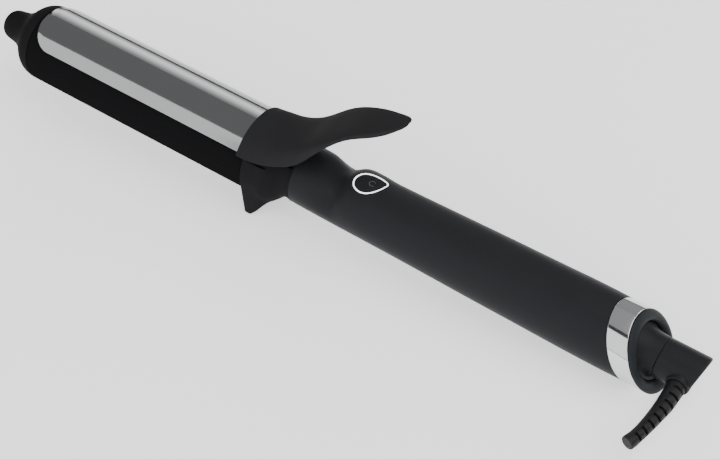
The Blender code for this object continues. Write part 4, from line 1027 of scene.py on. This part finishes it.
# Columns: place along the relief, share of the bend, share of the root radius
RELIEF_ROWS = (
    (0.0, 0.0, 1.0), (0.1, 0.0, 1.0), (0.16, 0.003, 0.985), (0.23, 0.01, 0.955),
    (0.387, 0.05, 0.905), (0.518, 0.17, 0.823), (0.65, 0.32, 0.765), (0.783, 0.508, 0.717),
    (0.88, 0.69, 0.71), (0.93, 0.8, 0.74), (1.0, 1.0, 0.755),
)

# The rim round the relief's root, as distance from the elbow's axis and radius
BOSS_RIM_CORNERS = (
    (4.0, 3.64), (8.2, 3.64), (8.42, 3.7), (8.52, 3.85), (8.45, 4.05), (8.2, 4.25), (7.8, 4.38),
    (7.2, 4.45), (4.0, 4.5),
)

# The channel that the ribs stand in: its ends, the run-out at each, its depth and its turn
SLOT_ENDS = (0.167, 0.908)
SLOT_RUN_OUT = 0.012
SLOT_DEPTH = 0.95
SLOT_TURN = math.radians(35.0)
SLOT_EDGES = (math.radians(46.0), math.radians(41.0))
RIB_ENDS = (0.235, 0.841)
RIB_COUNT = 7
RIB_LENGTH = 2.45
RIB_HEIGHT = 0.9
# How far the middle of a rib lies under the relief's surface
RIB_SINK = 0.42
RIB_REACH = math.radians(94.0)
RIB_EASE = 0.1


def elbow_lean(point):
    across, up = ELBOW_END_SLOPES
    middle = (SEAM_X + ELBOW_REAR) / 2
    return (up * point.z + across * point.y) * climb(point.x, middle, ELBOW_REAR)


def relief_spot(share):
    """The relief's middle line and its radius at a share of its length."""
    bend, size = read_table(RELIEF_ROWS, share)
    centre = Vector((RELIEF_X - bend * RELIEF_BEND, -RELIEF_START - share * RELIEF_LENGTH, 0.0))
    return centre, size * RELIEF_ROOT_R


def relief_along(share):
    step = 0.01
    before = relief_spot(max(share - step, 0.0))[0]
    after = relief_spot(min(share + step, 1.0))[0]
    return (after - before).normalized()


def relief_ring(share, trim=0.0):
    """A round station with a flat-bottomed channel let into its upper face."""
    centre, radius = relief_spot(share)
    side = relief_along(share).cross(Vector((0.0, 0.0, 1.0)))
    depth = SLOT_DEPTH * climb(min(share - SLOT_ENDS[0], SLOT_ENDS[1] - share), 0.0, SLOT_RUN_OUT)
    ring = []
    for angle in turns(96):
        off = abs(math.remainder(angle + SLOT_TURN, math.tau))
        reach = radius - trim - depth * climb(off, *SLOT_EDGES)
        out = side * math.sin(angle) + Vector((0.0, 0.0, math.cos(angle)))
        ring.append(centre + reach * out)
    return ring


def make_elbow():
    profile = eased(ELBOW_CORNERS)
    middle = [Vector((x, ELBOW_R)) for x in spread(ELBOW_FRONT + 1.0, ELBOW_REAR - 1.5, 12)]
    profile = profile[:7] + middle + profile[7:]
    piece = link_mesh("elbow_moulding", spin(profile, False, slant=elbow_lean))
    carve(piece, rod(RELIEF_SEAT_R, *RELIEF_SEAT_ENDS, 96))
    hand_over(piece, "cord_outlet", "swivel_plastic", ["swivel_elbow"])


def make_elbow_boss():
    rings = []
    for drop, radius in BOSS_RIM_CORNERS:
        rings.append([
            Vector((RELIEF_X + radius * math.sin(angle), -drop, radius * math.cos(angle)))
            for angle in turns(96)
        ])
    piece = link_mesh("elbow_boss", loft(rings, True))
    hand_over(piece, "cord_outlet", "swivel_plastic", [])


def make_relief():
    rings = [relief_ring(share) for share in spread(0.0, RELIEF_ROUND_START, 190)]
    for turn in spread(0.2, math.pi / 2, 5):
        share = RELIEF_ROUND_START + (1.0 - RELIEF_ROUND_START) * math.sin(turn)
        rings.append(relief_ring(share, RELIEF_ROUNDING * (1 - math.cos(turn))))
    rings += [relief_ring(1.0, trim) for trim in RELIEF_END_TRIMS]
    piece = link_mesh("relief_moulding", loft(rings))
    hand_over(piece, "cord_outlet", "relief_rubber", ["strain_relief"], sharp=50.0)


# The row of flex ribs, by geometry nodes


def make_ribs():
    """Ribs set along the relief's middle line, each turned to it and sized by its place."""
    path = bmesh.new()
    spots = [path.verts.new(relief_spot(share)[0]) for share in spread(*RIB_ENDS, 60)]
    for near, far in zip(spots, spots[1:]):
        path.edges.new((near, far))
    mesh = bpy.data.meshes.new("relief_ribs")
    path.to_mesh(mesh)
    path.free()
    row = bpy.data.objects.new("relief_ribs", mesh)
    bpy.context.scene.collection.objects.link(row)
    step = row.modifiers.new("ribs", "NODES")
    step.node_group = rib_group()
    sizes = {
        "Count": RIB_COUNT,
        "Rib Length": RIB_LENGTH,
        "Rib Height": RIB_HEIGHT,
        "First Radius": relief_spot(RIB_ENDS[0])[1] - RIB_SINK,
        "Last Radius": relief_spot(RIB_ENDS[1])[1] - RIB_SINK,
        "Reach": RIB_REACH,
    }
    for item in step.node_group.interface.items_tree:
        if item.item_type == "SOCKET" and item.name in sizes:
            step[item.identifier] = sizes[item.name]
    settle(row)
    hand_over(row, "cord_outlet", "relief_rubber", [], ease=RIB_EASE)


def rib_group():
    group = bpy.data.node_groups.new("rib_row", "GeometryNodeTree")
    face = group.interface
    face.new_socket("Path", in_out="INPUT", socket_type="NodeSocketGeometry")
    face.new_socket("Count", in_out="INPUT", socket_type="NodeSocketInt")
    for name in ("Rib Length", "Rib Height", "First Radius", "Last Radius", "Reach"):
        face.new_socket(name, in_out="INPUT", socket_type="NodeSocketFloat")
    face.new_socket("Ribs", in_out="OUTPUT", socket_type="NodeSocketGeometry")
    start = Signal(group)
    given = group.nodes.new("NodeGroupInput")
    size = {socket.name: Signal(group, socket) for socket in given.outputs if socket.name}
    line = start.node("GeometryNodeMeshToCurve", None, {"Mesh": size["Path"]})
    line = start.node("GeometryNodeResampleCurve", None, {"Curve": line, "Count": size["Count"]})
    places = {
        "Points": line,
        "Instance": one_rib(start, size),
        "Rotation": rib_turn(start),
        "Scale": rib_scale(start, size),
    }
    placed = start.node("GeometryNodeInstanceOnPoints", None, places)
    real = start.node("GeometryNodeRealizeInstances", None, {"Geometry": placed})
    dress = {"Geometry": real, "Material": FINISHES["relief_rubber"]}
    dressed = start.node("GeometryNodeSetMaterial", None, dress)
    out = group.nodes.new("NodeGroupOutput")
    group.links.new(dressed.socket, out.inputs[0])
    return group


def one_rib(start, size):
    """A bent bar round the line, with a radius of 1 that the scale at its place enlarges."""
    bend = {
        "Radius": 1.0,
        "Resolution": 24,
        "Start Angle": size["Reach"] * -0.5,
        "Sweep Angle": size["Reach"],
    }
    arc = start.node("GeometryNodeCurveArc", {"mode": "RADIUS"}, bend)
    section = {"Width": size["Rib Height"] / size["First Radius"], "Height": size["Rib Length"]}
    section = start.node("GeometryNodeCurvePrimitiveQuadrilateral", {"mode": "RECTANGLE"}, section)
    bar = {"Curve": arc, "Profile Curve": section, "Fill Caps": True}
    return start.node("GeometryNodeCurveToMesh", None, bar)


def rib_turn(start):
    """Turns a rib to the line's run, with its middle towards the channel."""
    along = start.node("GeometryNodeInputTangent")
    turned = start.node("FunctionNodeAlignEulerToVector", {"axis": "Z"}, {"Vector": along})
    up = {"Rotation": turned, "Vector": (math.sin(SLOT_TURN), 0.0, math.cos(SLOT_TURN))}
    return start.node("FunctionNodeAlignEulerToVector", {"axis": "X", "pivot_axis": "Z"}, up)


def rib_scale(start, size):
    place = start.node("GeometryNodeSplineParameter", output="Factor")
    ends = {"Value": place, "To Min": size["First Radius"], "To Max": size["Last Radius"]}
    radius = start.node("ShaderNodeMapRange", None, ends)
    return start.node("ShaderNodeCombineXYZ", None, {"X": radius, "Y": radius, "Z": 1.0})


# Camera, floor and light

# The camera's place in millimetres and its directions, in the tong's own frame
LENS = 69.77
CAMERA_PLACE = (228.46, -292.82, 402.87)
CAMERA_RIGHT = (0.83543, 0.54912, 0.02305)
CAMERA_UP = (-0.43688, 0.63806, 0.63404)
CAMERA_BACK = (0.33346, -0.53976, 0.77296)

# The floor lies this far under the tong, and its painted glow dims to grey between these distances, all in metres
FLOOR_GAP = 0.0002
FLOOR_HALF_SIZE = 3.0
FLOOR_GLOW_FADE = (0.35, 1.0)

# The far side's light is a stack of panels, each inside the last, which softens its edges
FAR_STACK = [
    (
        f"far_{step + 1}",
        (1.0 - 0.01 * step, 0.12 + 0.055 * step),
        (0.72 + 0.038 * step, 0.92 - 0.07 * step),
        (-1.04, -0.24),
        0.5,
    )
    for step in range(6)
]

# Columns: name, lower edge as (y, z), upper edge, span of x, brightness of the face; in metres
PANELS = (
    ("near_barrel", (-0.96, 0.03), (-0.52, 0.93), (-1.1, -0.4), 2.1),
    ("near_handle", (-0.96, 0.03), (-0.56, 0.86), (-0.4, 0.6), 1.5),
    ("near_rear", (-0.96, 0.1), (-0.7, 0.6), (0.8, 1.5), 2.5),
    *FAR_STACK,
    ("far_handle", (1.15, 0.1), (1.15, 1.28), (-0.2, 0.6), 0.3),
    ("far_rear", (1.0, 0.2), (0.9, 0.6), (0.6, 1.4), 4.5),
    ("over_barrel", (-0.74, 1.3), (1.15, 1.3), (-1.9, -0.4), 0.34),
    ("over_handle", (-0.55, 1.3), (1.15, 1.3), (-0.4, 1.9), 0.34),
    ("over_rear", (-0.5, 1.2), (0.9, 1.2), (0.2, 1.7), 2.6),
)


def set_camera():
    lens = bpy.data.cameras.new("camera")
    lens.lens = LENS
    lens.sensor_width = 36.0
    lens.clip_start = 0.01
    lens.clip_end = 20.0
    camera = bpy.data.objects.new("camera", lens)
    bpy.context.scene.collection.objects.link(camera)
    turn = Matrix((CAMERA_RIGHT, CAMERA_UP, CAMERA_BACK)).transposed().to_4x4()
    place = Matrix.Translation(Vector(CAMERA_PLACE) * MM)
    camera.matrix_world = TONG @ place @ turn
    bpy.context.scene.camera = camera


def paper_with_painted_glow():
    """Pale paper with a painted glow: a pool of painted light round the tong that dims to grey away from it."""

    def recipe(start, place):
        cloud = grain(start, place, 400.0 * MM)
        reach = start.node("ShaderNodeVectorMath", {"operation": "LENGTH"}, {0: place}, "Value")
        ends = {"Value": reach, "From Min": FLOOR_GLOW_FADE[0], "From Max": FLOOR_GLOW_FADE[1]}
        painted_glow_falloff = start.node("ShaderNodeMapRange", {"interpolation_type": "SMOOTHSTEP"}, ends)
        return {
            "Base Color": blend_colours(start, cloud, (0.9, 0.9, 0.9), (0.92, 0.92, 0.92)),
            # Painted light: the floor's emission is brightest round the tong and dims to grey away from it
            "Emission Color": blend_colours(start, painted_glow_falloff, (1.0, 1.0, 1.0), (0.5, 0.5, 0.5)),
        }

    return {"Roughness": 0.9, "Emission Strength": 0.9}, recipe


def set_floor():
    shape = bmesh.new()
    bmesh.ops.create_grid(shape, x_segments=2, y_segments=2, size=FLOOR_HALF_SIZE)
    mesh = bpy.data.meshes.new("floor")
    shape.to_mesh(mesh)
    shape.free()
    floor = bpy.data.objects.new("floor", mesh)
    bpy.context.scene.collection.objects.link(floor)
    floor.location.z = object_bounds()[0][2] - FLOOR_GAP
    mesh.materials.append(finish_named("floor_paper", *paper_with_painted_glow()))


def add_panel(name, lower, upper, span, glow):
    """A flat soft light along the tong; its size doesn't change how bright its face is."""
    low, high = Vector((0.0, *lower)), Vector((0.0, *upper))
    tall = (high - low).length
    wide = span[1] - span[0]
    lamp = bpy.data.lights.new(name, "AREA")
    lamp.shape = "RECTANGLE"
    lamp.size = wide
    lamp.size_y = tall
    lamp.energy = glow * math.pi * wide * tall
    made = bpy.data.objects.new(name, lamp)
    bpy.context.scene.collection.objects.link(made)
    along = Vector((1.0, 0.0, 0.0))
    up = (high - low).normalized()
    out = along.cross(up)
    middle = (low + high) / 2 + along * (span[0] + span[1]) / 2
    if out.dot(middle) < 0.0:
        along, out = -along, -out
    turn = Matrix((along, up, out)).transposed().to_4x4()
    made.matrix_world = Matrix.Translation(middle) @ turn


def set_light():
    world = bpy.data.worlds.new("studio")
    world.use_nodes = True
    back = world.node_tree.nodes["Background"]
    back.inputs["Color"].default_value = (0.96, 0.98, 1.0, 1.0)
    back.inputs["Strength"].default_value = 0.06
    bpy.context.scene.world = world
    for panel in PANELS:
        add_panel(*panel)


dress_nodes()
make_barrel()
make_tip()
make_clamp()
make_lever()
make_base()
make_handle()
make_light_ring()
make_button()
make_collar()
make_cap()
make_hub()
make_elbow()
make_elbow_boss()
make_relief()
make_ribs()
set_camera()
set_floor()
set_light()
